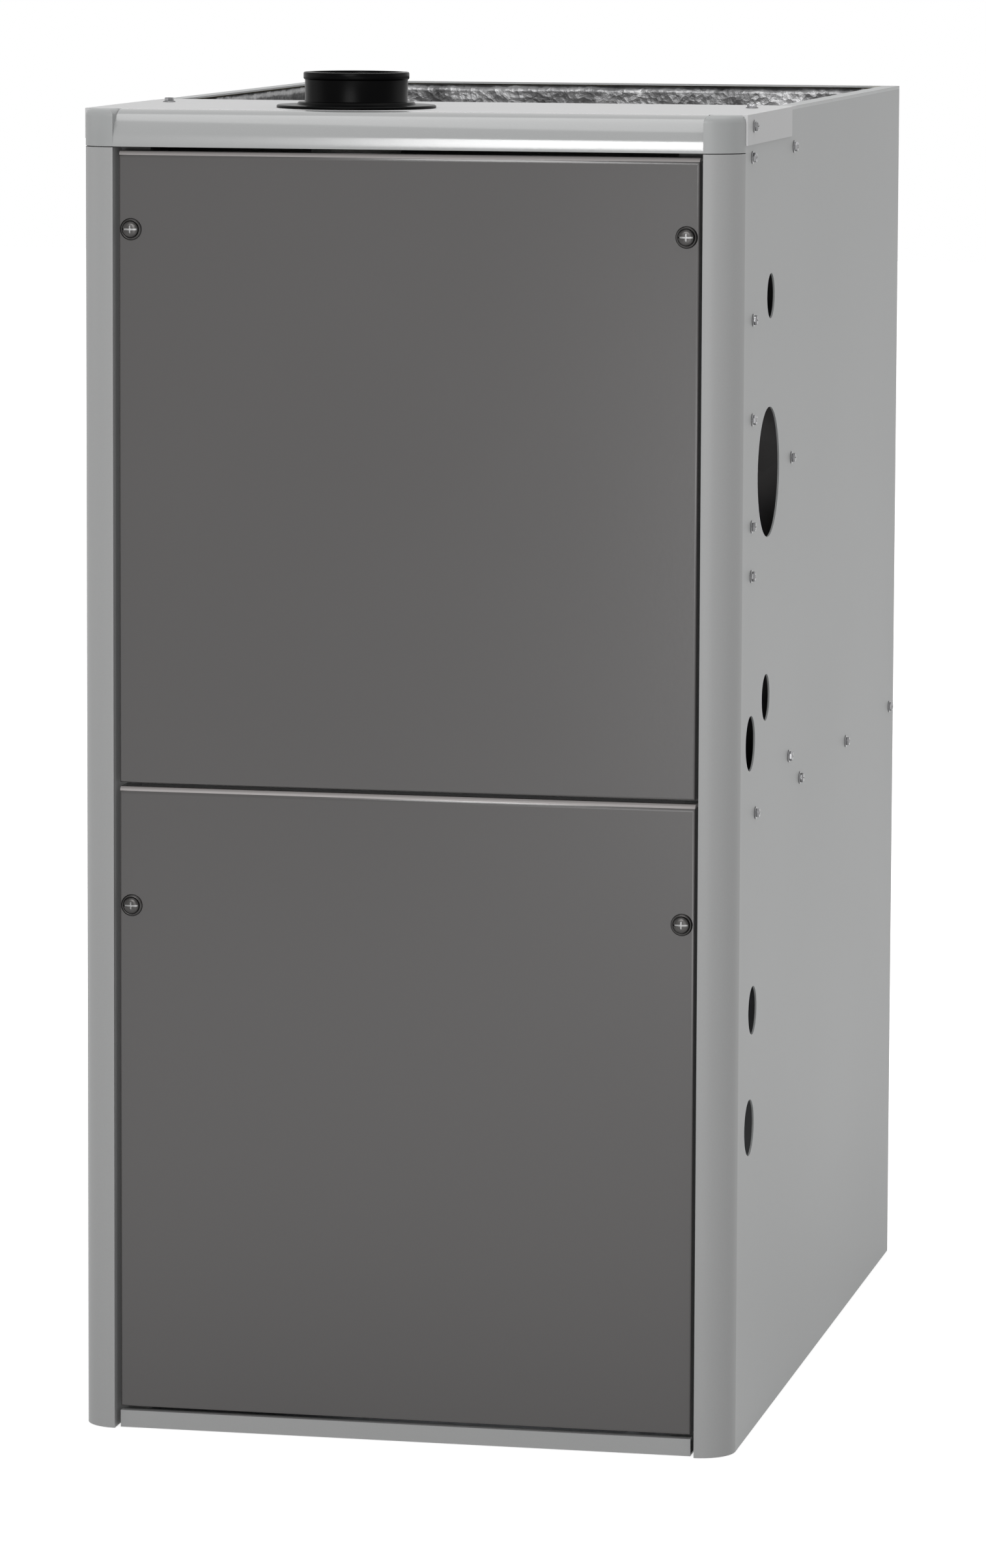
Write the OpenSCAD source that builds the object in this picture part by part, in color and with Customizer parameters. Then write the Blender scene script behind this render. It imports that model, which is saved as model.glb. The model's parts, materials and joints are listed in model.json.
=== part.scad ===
// Forced air gas furnace, upflow condensing type, free standing.
// Millimetres. X to the right seen from the front, +Y to the back, +Z up.
// The origin lies on the floor, in the middle of the cabinet's width and depth.

/* [Cabinet] */
// Width over the cabinet's side sheets
cabinet_w = 445; // [440:1:560]
// Depth from the front of the posts to the back sheet
cabinet_d = 711; // [700:1:800]
// Height of the cabinet without the vent collar
cabinet_h = 889; // [884:1:960]
// Thickness of the cabinet sheet
sheet_t = 1.2; // [0.8:0.1:1.5]
// Outside radius of the rounded corner posts and of the top rail
post_r = 24; // [20:1:28]
// Depth of the post's strip that lies inside the side sheet
post_tuck = 42; // [36:1:50]
// Width of the post's stop flange behind the doors
stop_w = 20; // [18:1:26]
// Outside bend radius of the cabinet's rear corners
bend_r = 3; // [2:0.5:6]
// Width of the inward flanges round the air openings
flange_w = 12; // [8:1:18]
// Width of the inward flanges under the top panel
seat_w = 28; // [24:1:34]
// Height of the corner caps and the top rail
cap_h = 24.5; // [24:0.5:32]
// Wall of the moulded corner caps
cap_wall = 2; // [1.5:0.1:3]
// Radius along the top edges of a corner cap
cap_edge_r = 5; // [3:0.5:8]
// Height of the top panel's side tabs
tab_h = 20; // [16:1:24]
// Length of the top panel's side tabs
tab_len = 180; // [150:1:190]
// Height of the bottom rail's face
base_rail_h = 11.5; // [10:0.5:16]
// Depth of the bottom rail's foot
base_rail_d = 40; // [30:1:50]
// Play between pieces that seat on each other
seat_gap = 0.2; // [0.1:0.05:0.3]

/* [Doors] */
// Gap beside the doors
door_gap = 3; // [2:0.5:5]
// Gap above and below each door
door_slit = 2.8; // [2:0.2:4]
// Height of the middle of the gap between the doors
divider_z = 438; // [430:1:446]
// How far the door faces lie behind the posts
door_recess = 4.5; // [4.4:0.1:6]
// Depth of the doors' folded edges
door_d = 18; // [14:1:22]
// Rolled radius along the top edge of each door
door_top_r = 5; // [3:0.5:7]
// Radius of the doors' other front edges
door_edge_r = 1.6; // [1.6:0.1:3]
// Distance of a fastener from the door's side edge
fastener_inset = 8.3; // [8:0.1:12]
// Distance of the upper door's fasteners below its top edge
upper_fastener_drop = 52; // [30:1:90]
// Distance of the lower door's fasteners below its top edge
lower_fastener_drop = 80; // [30:1:120]
// Radius of the fasteners' shafts
fastener_r = 3; // [2.5:0.1:3.5]
// Radius of the fasteners' heads
fastener_head_r = 5.6; // [5:0.1:6]
// Radius of the cup washers
washer_r = 7.4; // [6.8:0.1:7.8]
// Radial clearance of every shaft that turns in a hole
run_gap = 0.05; // [0.02:0.01:0.1]

/* [Side holes] */
// Radius of the gas pipe's hole
gas_hole_r = 15.2; // [13:0.1:18]
// Distance of the gas pipe's hole behind the front
gas_hole_y = 129; // [127:1:131]
// Radius of the side vent's hole
vent_hole_r = 43.8; // [38:0.2:46]
// Distance of the side vent's hole behind the front
vent_hole_y = 125; // [118:1:132]
// Height of the side vent's hole
vent_hole_z = 647; // [640:1:655]
// Radius of the upper drain hole
high_drain_r = 15.8; // [12:0.2:18]
// Distance of the upper drain hole behind the front
high_drain_y = 121; // [115:1:130]
// Height of the upper drain hole
high_drain_z = 495; // [490:1:505]
// Radius of the lower drain hole
drain_hole_r = 18.5; // [15:0.5:20]
// Distance of the lower drain hole behind the front
drain_hole_y = 61; // [59:1:64]
// Height of the lower drain hole
drain_hole_z = 471; // [470:1:474]
// Radius of the control wire's hole
signal_hole_r = 16.4; // [11:0.2:18]
// Distance of the control wire's hole behind the front
signal_hole_y = 78; // [72:1:90]
// Height of the control wire's hole
signal_hole_z = 289; // [270:1:310]
// Radius of the supply wire's hole
power_hole_r = 19; // [14:0.5:21]
// Distance of the supply wire's hole behind the front
power_hole_y = 68; // [62:1:80]
// Height of the supply wire's hole
power_hole_z = 211; // [190:1:230]

/* [Screws] */
// Radius of the sheet screws' shanks
screw_r = 2.1; // [1.8:0.1:2.4]
// Radius of the sheet screws' washer faces
screw_head_r = 4.3; // [3.8:0.1:5]
// Height of the sheet screws' heads
screw_head_h = 3; // [2:0.2:4]
// Length of the sheet screws' shanks
screw_len = 8; // [6:1:10]

/* [Inner panels] */
// Distance of the partition behind the front
partition_y = 228; // [224:1:232]
// Height of the blower deck
deck_z = 431; // [428:1:434]
// Width of the folded edges of the inner panels
fold_w = 16; // [14:1:18]
// Thickness of the insulation blanket
blanket_t = 10; // [6:1:12]
// Width of the return air opening in the base
return_w = 356; // [300:1:370]
// Length of the return air opening in the base
return_len = 560; // [500:1:590]
// Height of the lip round the return air opening
return_lip = 12; // [8:1:16]

/* [Vent] */
// Distance of the vent pipe left of the middle
vent_x = 53; // [50:1:58]
// Distance of the vent pipe behind the front
vent_y = 87.5; // [84:0.5:88]
// Outside radius of the vent pipe
vent_r = 30.15; // [28:0.05:30.5]
// Wall of the vent pipe
vent_wall = 3.9; // [2:0.1:4.5]
// Outside radius of the vent collar
collar_r = 34.5; // [33.5:0.1:38]
// Height of the vent collar above the top panel
collar_h = 24; // [18:1:40]
// Radius of the vent collar's flange
collar_flange_r = 53.5; // [48:0.5:58]
// Height of the offset bend in the vent pipe
bend_h = 96; // [90:1:98]

/* [Burners] */
// Height of the burners
burner_z = 765; // [762:1:770]
// Distance between burners
burner_pitch = 60; // [56:1:62]
// Number of burners and heat exchanger tubes
burner_count = 4; // [2:1:4]
// Height of the burner box
burner_box_h = 90; // [80:1:96]
// Depth of the burner box
burner_box_d = 70; // [64:1:74]
// Outside radius of the gas manifold
manifold_r = 8.6; // [7:0.1:9]
// Outside radius of the orifices
orifice_r = 5; // [4:0.1:6]
// Radius of the gas valve's inlet thread
gas_inlet_r = 10.6; // [8:0.1:12]
// Width of the gas valve's body
valve_w = 52; // [46:1:54]
// Height of the gas valve's body
valve_h = 60; // [52:1:66]
// Depth of the gas valve's body
valve_d = 54; // [48:1:56]

/* [Heat exchanger] */
// Outside radius of the primary tubes
tube_r = 19; // [16:0.5:21]
// Wall of the primary tubes
tube_wall = 1.2; // [0.9:0.1:1.6]
// Radius of the rear bends of the primary tubes
rear_bend_r = 50; // [46:1:52]
// Radius of the front bends of the primary tubes
front_bend_r = 40; // [36:1:42]
// Outside radius of the secondary coil's tubes
coil_tube_r = 8; // [6:0.5:9]
// Number of fins on the secondary coil
fin_count = 30; // [16:1:40]
// Thickness of the secondary coil's fins
fin_t = 0.8; // [0.6:0.1:1.2]

/* [Inducer] */
// Height of the inducer's axis
inducer_z = 526; // [524:1:528]
// Depth of the inducer's housing
inducer_d = 50; // [44:1:52]
// Radius of the inducer's wheel
inducer_wheel_r = 50; // [44:1:52]
// Wall of the inducer's housing
inducer_wall = 3; // [2:0.2:3.4]
// Radius of the inducer's shaft
inducer_shaft_r = 4; // [3:0.5:5]
// Depth of the condensate header
header_d = 66; // [62:1:68]

/* [Blower] */
// Distance of the blower's axis behind the cabinet's middle
blower_y = 100; // [90:1:110]
// Height of the blower's axis
blower_z = 222; // [218:1:228]
// Radius of the blower wheel
wheel_r = 127; // [118:1:130]
// Width of the blower wheel
wheel_w = 200; // [180:1:206]
// Number of blades on the blower wheel
blade_count = 40; // [24:1:48]
// Width of the blower's housing
housing_w = 236; // [226:1:240]
// Radius of the blower's inlets
inlet_r = 100; // [96:1:104]
// Radius of the blower motor
motor_r = 70; // [64:1:74]
// Length of the blower motor
motor_len = 108; // [100:1:116]
// Radius of the blower motor's shaft
shaft_r = 6.35; // [5:0.05:8]

/* [Controls] */
// Length of the control board
board_len = 150; // [130:1:160]
// Height of the control board
board_h = 130; // [110:1:140]
// Distance of the control board from the side sheet
board_off = 12; // [9:1:16]
// Distance of the board's middle above the floor
board_z = 320; // [310:1:330]
// Radius of the wire bundles
wire_r = 4; // [3:0.5:5]
// Radius of the reset buttons
button_r = 2.6; // [2:0.1:3.2]
// Radius of the door switch's plunger
plunger_r = 2.6; // [2:0.1:3.2]

/* [Hidden] */
$fn = 48;
eps = 0.02;

half_w = cabinet_w / 2;
front_y = -cabinet_d / 2;
back_y = cabinet_d / 2;
wall_x = half_w - sheet_t;
seam_y = front_y + post_r;
cap_edge_lift = 0.5;
opening_x = half_w - post_r;

// Doors
door_x = opening_x - door_gap;
door_y = front_y + door_recess;
door_back_y = door_y + door_d;
door_top_z = cabinet_h - cap_h - door_slit;
lower_door_z = base_rail_h + door_slit;
lower_top_z = divider_z - door_slit / 2;
upper_door_z = divider_z + door_slit / 2;
stop_y = door_back_y + 0.5;
fastener_x = door_x - fastener_inset;
upper_fastener_z = door_top_z - upper_fastener_drop;
lower_fastener_z = lower_top_z - lower_fastener_drop;
receptacle_d = 5;

// Panels
panel_y = front_y + partition_y;
panel_front_y = panel_y - sheet_t;
under_top_z = cabinet_h - sheet_t;
deck_x = wall_x - sheet_t - seat_gap;
deck_front_y = stop_y + 2 * sheet_t;
divider_h = 40;
divider_leg = 22;
return_x = return_w / 2;
return_y0 = (front_y + back_y) / 2 + 20 - return_len / 2;
return_y1 = return_y0 + return_len;

// Combustion air path
gas_y = front_y + gas_hole_y;
box_x = burner_pitch * 4 / 2 + 5;
box_front_y = panel_front_y - burner_box_d;
box_low_z = burner_z - burner_box_h / 2;
box_high_z = burner_z + burner_box_h / 2;
burner_xs = [for (i = [0:burner_count - 1]) (i - (burner_count - 1) / 2) * burner_pitch];
valve_x1 = wall_x - 28;
valve_x0 = valve_x1 - valve_w;
knob_r = 9;
knob_z = burner_z + 12;
knob_x = (valve_x0 + valve_x1) / 2 + 8;
switch_xs = [-70, 70];
switch_y = panel_front_y - burner_box_d / 2;
button_h = 5;
button_travel = 2;
switch_h = 15;
igniter_r = 5;
sensor_r = 4.5;

// Heat exchanger
middle_z = burner_z - 2 * rear_bend_r;
lower_z = middle_z - 2 * front_bend_r;
rear_bend_y = 240;
front_bend_y = -50;
rear_box_y0 = back_y - 65;
rear_box_y1 = back_y - 18;
coil_z0 = deck_z + 43;
coil_z1 = coil_z0 + 74;
coil_x = 120;
coil_zs = [coil_z0 + 18, coil_z1 - 18];
coil_xs = [for (i = [0:5]) (i - 2.5) * 36];

// Inducer and vent
header_x = 132;
header_z0 = coil_z0 - 8;
header_z1 = inducer_z + 66;
tap_y = panel_front_y - 30;
tap_z = header_z0 + 12;
signal_y = panel_front_y - 40;
signal_z = inducer_z + 30;
header_front_y = panel_front_y - header_d;
inducer_y0 = header_front_y - inducer_d;
inducer_y = header_front_y - inducer_d / 2;
inducer_out_w = 2 * vent_r;
inducer_r1 = 86;
inducer_r0 = 60;
inducer_x = -vent_x - vent_r + inducer_r1;
outlet_h = 76;
outlet_z = inducer_z + outlet_h;
spigot_h = 14;
coupling_h = 44;
coupling_wall = 4;
coupling_z1 = outlet_z + coupling_h;
pipe_y = front_y + vent_y;
pipe_step = inducer_y - pipe_y;
stub_z = outlet_z + spigot_h + 0.4;
bend_z0 = coupling_z1 + 1;
bend_steps = 15;
pipe_top_z = under_top_z - 3;
trap_y0 = front_y + 48;
trap_y1 = front_y + 92;
trap_top_z = deck_z + 99;
trap_in_x = header_x + 40;
trap_in_z = deck_z + 45;
drain_r = 9;
motor_gap = 6;
motor_stack = 34;
fan_gap = 5;
fan_d = 9;
fan_r = 30;
inducer_wheel_w = inducer_d - 2 * inducer_wall - 12;

// Blower
scroll_r0 = wheel_r + 12;
scroll_r1 = wheel_r + 54;
scroll_out = 168;
wheel_disc_x = -8;
motor_x0 = 22;
housing_top_z = deck_z - sheet_t;
housing_x = housing_w / 2;
hub_r = 17;

// Controls
pressure_x = -wall_x + 34;
pressure_z = vent_hole_z - 3;
nipple_z = pressure_z - 32;
limit_x = -wall_x + 71;
limit_z = burner_z - 115;
junction_z = vent_hole_z - 41;
junction_h = 84;
transformer_y = front_y + 110;
transformer_z = 120;
board_x = -wall_x + board_off;
board_y = front_y + 150;
plug_y = board_y - board_len / 2 + 14;
relay_y = board_y - board_len / 2 + 18;
box_wall_x = -wall_x + screw_len - sheet_t + 1;
plunger_x = -120;
plunger_z = deck_z - 24;
plunger_travel = 3;
plunger_tip_y = door_y + sheet_t + 0.3;
switch_body_y = deck_front_y + 8;
drop_hole_y = front_y + 52;
drop_hole_x = -wall_x + 26;
drop_hole_r = wire_r + 3;

// Each side hole: distance behind the front, height, radius
SIDE_HOLES = [
    [gas_hole_y, burner_z, gas_hole_r],
    [vent_hole_y, vent_hole_z, vent_hole_r],
    [high_drain_y, high_drain_z, high_drain_r],
    [drain_hole_y, drain_hole_z, drain_hole_r],
    [signal_hole_y, signal_hole_z, signal_hole_r],
    [power_hole_y, power_hole_z, power_hole_r]];
// Each side screw: distance behind the front, height
deck_screw_z = deck_z - sheet_t - fold_w / 2;
panel_screw_y = partition_y - sheet_t - fold_w / 2;
SIDE_SCREWS = [
    [post_r + 26, cabinet_h - cap_h - 4],
    [panel_screw_y, cabinet_h - cap_h - 3],
    [post_r + 34, burner_z - 78], [post_r + 34, burner_z - 149],
    [post_r + 34, burner_z - 182], [post_r + 34, burner_z - 12],
    [panel_screw_y, vent_hole_z + 2], [panel_screw_y, deck_z + 12],
    [83, deck_screw_z], [267, deck_screw_z], [474, deck_screw_z],
    [cabinet_d - 24, deck_screw_z]];
tab_screw_y = post_r + 25;
tab_screw_z = cabinet_h - 8;
top_screw_x = half_w - 20;
top_screw_y = front_y + 165;

// Routes of the hoses and wires that the furnace holds all the way. Each starts and ends a
// little in front of the face that it is plugged on to, and square to it.
hose_gap = 0.3;
PRESSURE_ROUTE = [
    [pressure_x, signal_y, nipple_z - hose_gap], [pressure_x, signal_y, nipple_z - 12],
    [pressure_x + 4, signal_y - 2, signal_z + 19], [-header_x - 18, signal_y - 10, signal_z + 4],
    [-header_x - 7, signal_y, signal_z], [-header_x - hose_gap, signal_y, signal_z]];
DRAIN_ROUTE = [
    [header_x + hose_gap, tap_y, tap_z], [header_x + 12, tap_y, tap_z],
    [trap_in_x - 10, tap_y - 8, tap_z - 0.4], [trap_in_x, tap_y - 30, tap_z - 1],
    [trap_in_x, tap_y - 60, trap_in_z + 0.4], [trap_in_x, trap_y1 + 16, trap_in_z],
    [trap_in_x, trap_y1 + hose_gap, trap_in_z]];
POWER_ROUTE = [
    [drop_hole_x, plug_y - hose_gap, board_z + 50], [drop_hole_x, plug_y - 9, board_z + 50],
    [drop_hole_x, drop_hole_y + 12, board_z + 62], [drop_hole_x, drop_hole_y, board_z + 85],
    [drop_hole_x, drop_hole_y, deck_z], [drop_hole_x, drop_hole_y, deck_z + 60],
    [drop_hole_x, drop_hole_y + 4, deck_z + 120], [drop_hole_x, drop_hole_y + 8, junction_z - 10],
    [drop_hole_x, drop_hole_y + 8, junction_z - hose_gap]];
MOTOR_ROUTE = [
    [drop_hole_x - 4, relay_y - hose_gap, board_z + 20], [drop_hole_x - 4, relay_y - 9, board_z + 20],
    [drop_hole_x + 10, drop_hole_y + 20, board_z + 32],
    [drop_hole_x + 24, drop_hole_y + 4, board_z + 58], [drop_hole_x + 24, drop_hole_y, board_z + 80],
    [drop_hole_x + 24, drop_hole_y, deck_z], [drop_hole_x + 26, drop_hole_y, deck_z + 30],
    [-header_x + 2, drop_hole_y + 2, deck_z + 58], [-header_x + 42, drop_hole_y + 6, deck_z + 72],
    [inducer_x - 52, drop_hole_y + 16, inducer_z - 8], [inducer_x - 44, inducer_y0 - 24, inducer_z],
    [inducer_x - 36 - hose_gap, inducer_y0 - 24, inducer_z]];

// ---- Shared shapes ----

// A 2D shape in X and Z, drawn out along Y
module along_y(y0, depth) {
    translate([0, y0 + depth, 0]) rotate([90, 0, 0]) linear_extrude(depth) children();
}

// A 2D shape in Y and Z, drawn out along X
module along_x(x0, depth) {
    translate([x0, 0, 0]) rotate([90, 0, 90]) linear_extrude(depth) children();
}

// A round bar along each axis
module rod_x(x0, len, y, z, r) {
    translate([x0, y, z]) rotate([0, 90, 0]) cylinder(r = r, h = len);
}

module rod_y(y0, len, x, z, r) {
    translate([x, y0 + len, z]) rotate([90, 0, 0]) cylinder(r = r, h = len);
}

module rod_z(z0, len, x, y, r) {
    translate([x, y, z0]) cylinder(r = r, h = len);
}

// A box from its lowest to its highest corner
module block(low, high) {
    translate(low) cube(high - low);
}

// Both the right-hand copy and its mirror image
module both_sides() {
    children();
    mirror([1, 0, 0]) children();
}

// Points on a smooth curve through a hand-laid route
function curve_point(a, b, c, d, t) =
    0.5 * (2 * b + (c - a) * t + (2 * a - 5 * b + 4 * c - d) * t * t
        + (3 * b - a - 3 * c + d) * t * t * t);
function curve(p, steps) = let (n = len(p) - 1) concat(
    [for (i = [0:n - 1]) for (s = [0:steps - 1])
        curve_point(p[max(i - 1, 0)], p[i], p[i + 1], p[min(i + 2, n)], s / steps)],
    [p[n]]);
function unit(v) = v / norm(v);
function tangent(p, i) = unit(p[min(i + 1, len(p) - 1)] - p[max(i - 1, 0)]);
function ring_point(c, t, up, r, a) = let (n = unit(cross(t, up)), b = cross(t, n))
    c + r * (cos(a) * n + sin(a) * b);

// A hose or wire bundle along a route, with both ends square to the route's end legs
module hose(route, r, steps = 4, up = [0.3, 1, 0.2], sides = 8) {
    path = curve(route, steps);
    rings = len(path);
    last = len(route) - 1;
    ways = [for (i = [0:rings - 1]) i == 0 ? unit(route[1] - route[0])
        : i == rings - 1 ? unit(route[last] - route[last - 1]) : tangent(path, i)];
    points = [for (i = [0:rings - 1]) for (k = [0:sides - 1])
        ring_point(path[i], ways[i], up, r, k * 360 / sides)];
    walls = [for (i = [0:rings - 2]) for (k = [0:sides - 1])
        let (a = i * sides + k, b = i * sides + (k + 1) % sides)
        each [[a, b, a + sides], [b, b + sides, a + sides]]];
    first_end = [for (k = [1:sides - 2]) [0, k + 1, k]];
    base = (rings - 1) * sides;
    last_end = [for (k = [1:sides - 2]) [base, base + k, base + k + 1]];
    polyhedron(points, concat(walls, first_end, last_end));
}

// The outline of a scroll housing: a spiral that grows into an upward outlet on its +X side
module scroll_outline(r0, r1, out_w, out_h) {
    steps = 48;
    polygon([for (i = [0:steps]) let (a = 360 * i / steps, r = r0 + (r1 - r0) * i / steps)
        [r * cos(a), r * sin(a)]]);
    translate([r1 - out_w, 0]) square([out_w, out_h]);
}

// The cabinet's plan from y0 to the back, drawn in by an inset
module cabinet_plan(inset, y0) {
    r = bend_r - inset;
    x = half_w - inset;
    y1 = back_y - inset;
    translate([-x, y0]) square([2 * x, y1 - r - y0]);
    translate([r - x, y0]) square([2 * (x - r), y1 - y0]);
    for (s = [-1, 1]) translate([s * (x - r), y1 - r]) circle(r);
}

// The side screws' shanks, a little wider for their holes
module side_screw_shanks(extra) {
    both_sides() {
        for (s = SIDE_SCREWS)
            rod_x(half_w - screw_len, screw_len + eps, front_y + s[0], s[1], screw_r + extra);
        rod_x(half_w + sheet_t - screw_len, screw_len + eps, front_y + tab_screw_y,
            tab_screw_z, screw_r + extra);
    }
}

module top_screw_shanks(extra) {
    for (s = [-1, 1])
        rod_z(cabinet_h - screw_len, screw_len + eps, s * top_screw_x, top_screw_y,
            screw_r + extra);
}

// ---- Cabinet ----

module cabinet_wrapper() color([0.62, 0.63, 0.63]) {
    difference() {
        union() {
            linear_extrude(cabinet_h) difference() {
                cabinet_plan(0, seam_y);
                cabinet_plan(sheet_t, seam_y - 1);
            }
            for (z = [0, under_top_z]) translate([0, 0, z]) linear_extrude(sheet_t) difference() {
                cabinet_plan(sheet_t / 2, z == 0 ? seam_y + post_tuck + 2 : panel_y + 2);
                translate([flange_w - half_w, seam_y - 1])
                    square([cabinet_w - 2 * flange_w, back_y - flange_w - seam_y + 1]);
            }
            both_sides() block([half_w - seat_w, seam_y + post_tuck + 4, under_top_z - sheet_t],
                [half_w - sheet_t / 2, panel_y - sheet_t - fold_w - 2, under_top_z]);
        }
        block([-half_w - 1, seam_y - 1, under_top_z], [half_w + 1, panel_y, cabinet_h + 1]);
        both_sides() for (h = SIDE_HOLES)
            rod_x(wall_x - 1, sheet_t + 2, front_y + h[0], h[1], h[2]);
        side_screw_shanks(run_gap);
        top_screw_shanks(run_gap);
    }
}

// The right-hand post: rounded face, leg beside the door, stop flange and tucked strip
module post_profile() {
    difference() {
        intersection() {
            translate([half_w - post_r, seam_y]) circle(post_r);
            translate([half_w - post_r, front_y]) square([post_r, post_r]);
        }
        translate([half_w - post_r, seam_y]) circle(post_r - sheet_t);
    }
    translate([opening_x, front_y]) square([sheet_t, stop_y + sheet_t - front_y]);
    translate([opening_x - stop_w, stop_y]) square([stop_w + sheet_t, sheet_t]);
    translate([wall_x - sheet_t, seam_y - sheet_t]) square([sheet_t, post_tuck + sheet_t]);
    translate([wall_x - sheet_t, seam_y - sheet_t]) square([2 * sheet_t, sheet_t]);
}

module right_post() {
    difference() {
        union() {
            linear_extrude(cabinet_h - cap_h - 0.6) post_profile();
            for (z = [upper_fastener_z, lower_fastener_z])
                rod_y(stop_y + sheet_t, receptacle_d, fastener_x, z, fastener_r + 3);
        }
        for (z = [upper_fastener_z, lower_fastener_z])
            rod_y(stop_y - 1, receptacle_d + sheet_t + 2, fastener_x, z, fastener_r + run_gap);
        for (h = SIDE_HOLES)
            rod_x(wall_x - 3, 3, front_y + h[0], h[1], h[2] + 2);
        side_screw_shanks(run_gap);
        block([opening_x - stop_w - 1, stop_y - 1, divider_z - divider_h / 2 - 1],
            [opening_x - stop_w / 2 - 3, stop_y + 10, divider_z + divider_h / 2 + 1]);
    }
}

module right_corner_post() color([0.6, 0.61, 0.61]) right_post();

module left_corner_post() color([0.6, 0.61, 0.61]) mirror([1, 0, 0]) right_post();

// A rounded corner's solid that stands proud of the rail beside it, drawn in by an inset
module cap_form(inset) {
    r = post_r - inset;
    e = cap_edge_r - inset / 2;
    under = inset > 0 ? 1 : 0;
    z0 = cabinet_h - cap_h - under;
    z1 = cabinet_h - inset;
    intersection() {
        translate([opening_x, seam_y, 0]) rotate_extrude() {
            translate([0, z0]) square([r, z1 - e - z0]);
            translate([0, z0]) square([r - e, z1 - z0]);
            intersection() {
                translate([r - e, z1 - e]) circle(e);
                translate([r - e, z1 - e]) square([e, e]);
            }
        }
        along_y(front_y - 1, post_r + 1 + under) {
            translate([opening_x + inset, z0 - 1]) square([post_r, z1 - e + cap_edge_lift - z0 + 1]);
            translate([opening_x + inset + e, z0 - 1]) square([post_r, cap_h + 3]);
            translate([opening_x + inset + e, z1 - e + cap_edge_lift]) circle(e);
        }
    }
}

module corner_caps() color([0.66, 0.67, 0.67]) both_sides() difference() {
    cap_form(0);
    cap_form(cap_wall);
}

module top_front_rail() color([0.7, 0.7, 0.7]) {
    z0 = cabinet_h - cap_h;
    r = post_r;
    along_x(-opening_x, 2 * opening_x) {
        difference() {
            union() {
                intersection() {
                    translate([seam_y, cabinet_h - r]) circle(r);
                    translate([front_y, cabinet_h - r]) square([r, r]);
                }
                translate([front_y, z0]) square([r, cabinet_h - r - z0]);
            }
            translate([seam_y, cabinet_h - r]) circle(r - sheet_t);
            translate([front_y + sheet_t, z0 + sheet_t]) square([r, cabinet_h - r - z0 - sheet_t]);
            translate([front_y + r / 2, z0 - 1]) square([r, 1 + sheet_t + 0.4]);
        }
        translate([seam_y - 1, under_top_z - sheet_t]) square([14, sheet_t]);
    }
}

module top_panel() color([0.76, 0.76, 0.77]) difference() {
    union() {
        block([-half_w, seam_y, under_top_z], [half_w, panel_y, cabinet_h]);
        both_sides() {
            block([half_w - 1, seam_y, under_top_z], [half_w + sheet_t, seam_y + tab_len, cabinet_h]);
            block([half_w, seam_y, cabinet_h - tab_h], [half_w + sheet_t, seam_y + tab_len, cabinet_h]);
        }
    }
    rod_z(under_top_z - 1, sheet_t + 2, -vent_x, pipe_y, vent_r + 2);
    side_screw_shanks(run_gap);
    top_screw_shanks(run_gap);
}

module base_rail() color([0.58, 0.59, 0.59]) {
    block([-door_x, door_y, 0], [door_x, door_y + sheet_t, base_rail_h]);
    block([-door_x, door_y, 0], [door_x, stop_y - seat_gap, sheet_t]);
    block([stop_w - opening_x + 1, door_y, 0], [opening_x - stop_w - 1, door_y + base_rail_d, sheet_t]);
    block([-door_x, door_y, base_rail_h - sheet_t], [door_x, door_y + 8, base_rail_h]);
}

module base_pan() color([0.6, 0.6, 0.6]) difference() {
    union() {
        block([-deck_x, stop_y + sheet_t + 0.4, sheet_t],
            [deck_x, back_y - sheet_t - seat_gap, 2 * sheet_t]);
        block([-return_x - sheet_t, return_y0 - sheet_t, sheet_t],
            [return_x + sheet_t, return_y1 + sheet_t, return_lip]);
    }
    block([-return_x, return_y0, -1], [return_x, return_y1, return_lip + 1]);
    both_sides() block([opening_x - 1, front_y, 0], [half_w, stop_y + sheet_t + 1, 10]);
}

module centre_divider() color([0.35, 0.35, 0.35]) {
    y0 = stop_y + sheet_t;
    low = divider_z - divider_h / 2;
    high = divider_z + divider_h / 2;
    block([-opening_x, y0, low], [opening_x, y0 + sheet_t, high]);
    block([-opening_x + stop_w, y0, high - sheet_t], [opening_x - stop_w, y0 + divider_leg, high]);
}

module blower_deck() color([0.66, 0.67, 0.68]) difference() {
    union() {
        block([-deck_x, deck_front_y, deck_z - sheet_t],
            [deck_x, back_y - sheet_t - seat_gap, deck_z]);
        block([-opening_x, deck_front_y, deck_z - fold_w],
            [opening_x, deck_front_y + sheet_t, deck_z]);
        both_sides() block([deck_x - sheet_t, seam_y + 20, deck_z - sheet_t - fold_w],
            [deck_x, back_y - 12, deck_z]);
    }
    block([-housing_x + 2, blower_y + scroll_r1 - scroll_out + 2, deck_z - 5],
        [housing_x - 2, blower_y + scroll_r1 - 2, deck_z + 5]);
    for (dx = [0, 24]) rod_z(deck_z - 5, 10, drop_hole_x + dx, drop_hole_y, drop_hole_r);
    side_screw_shanks(run_gap);
}

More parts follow.
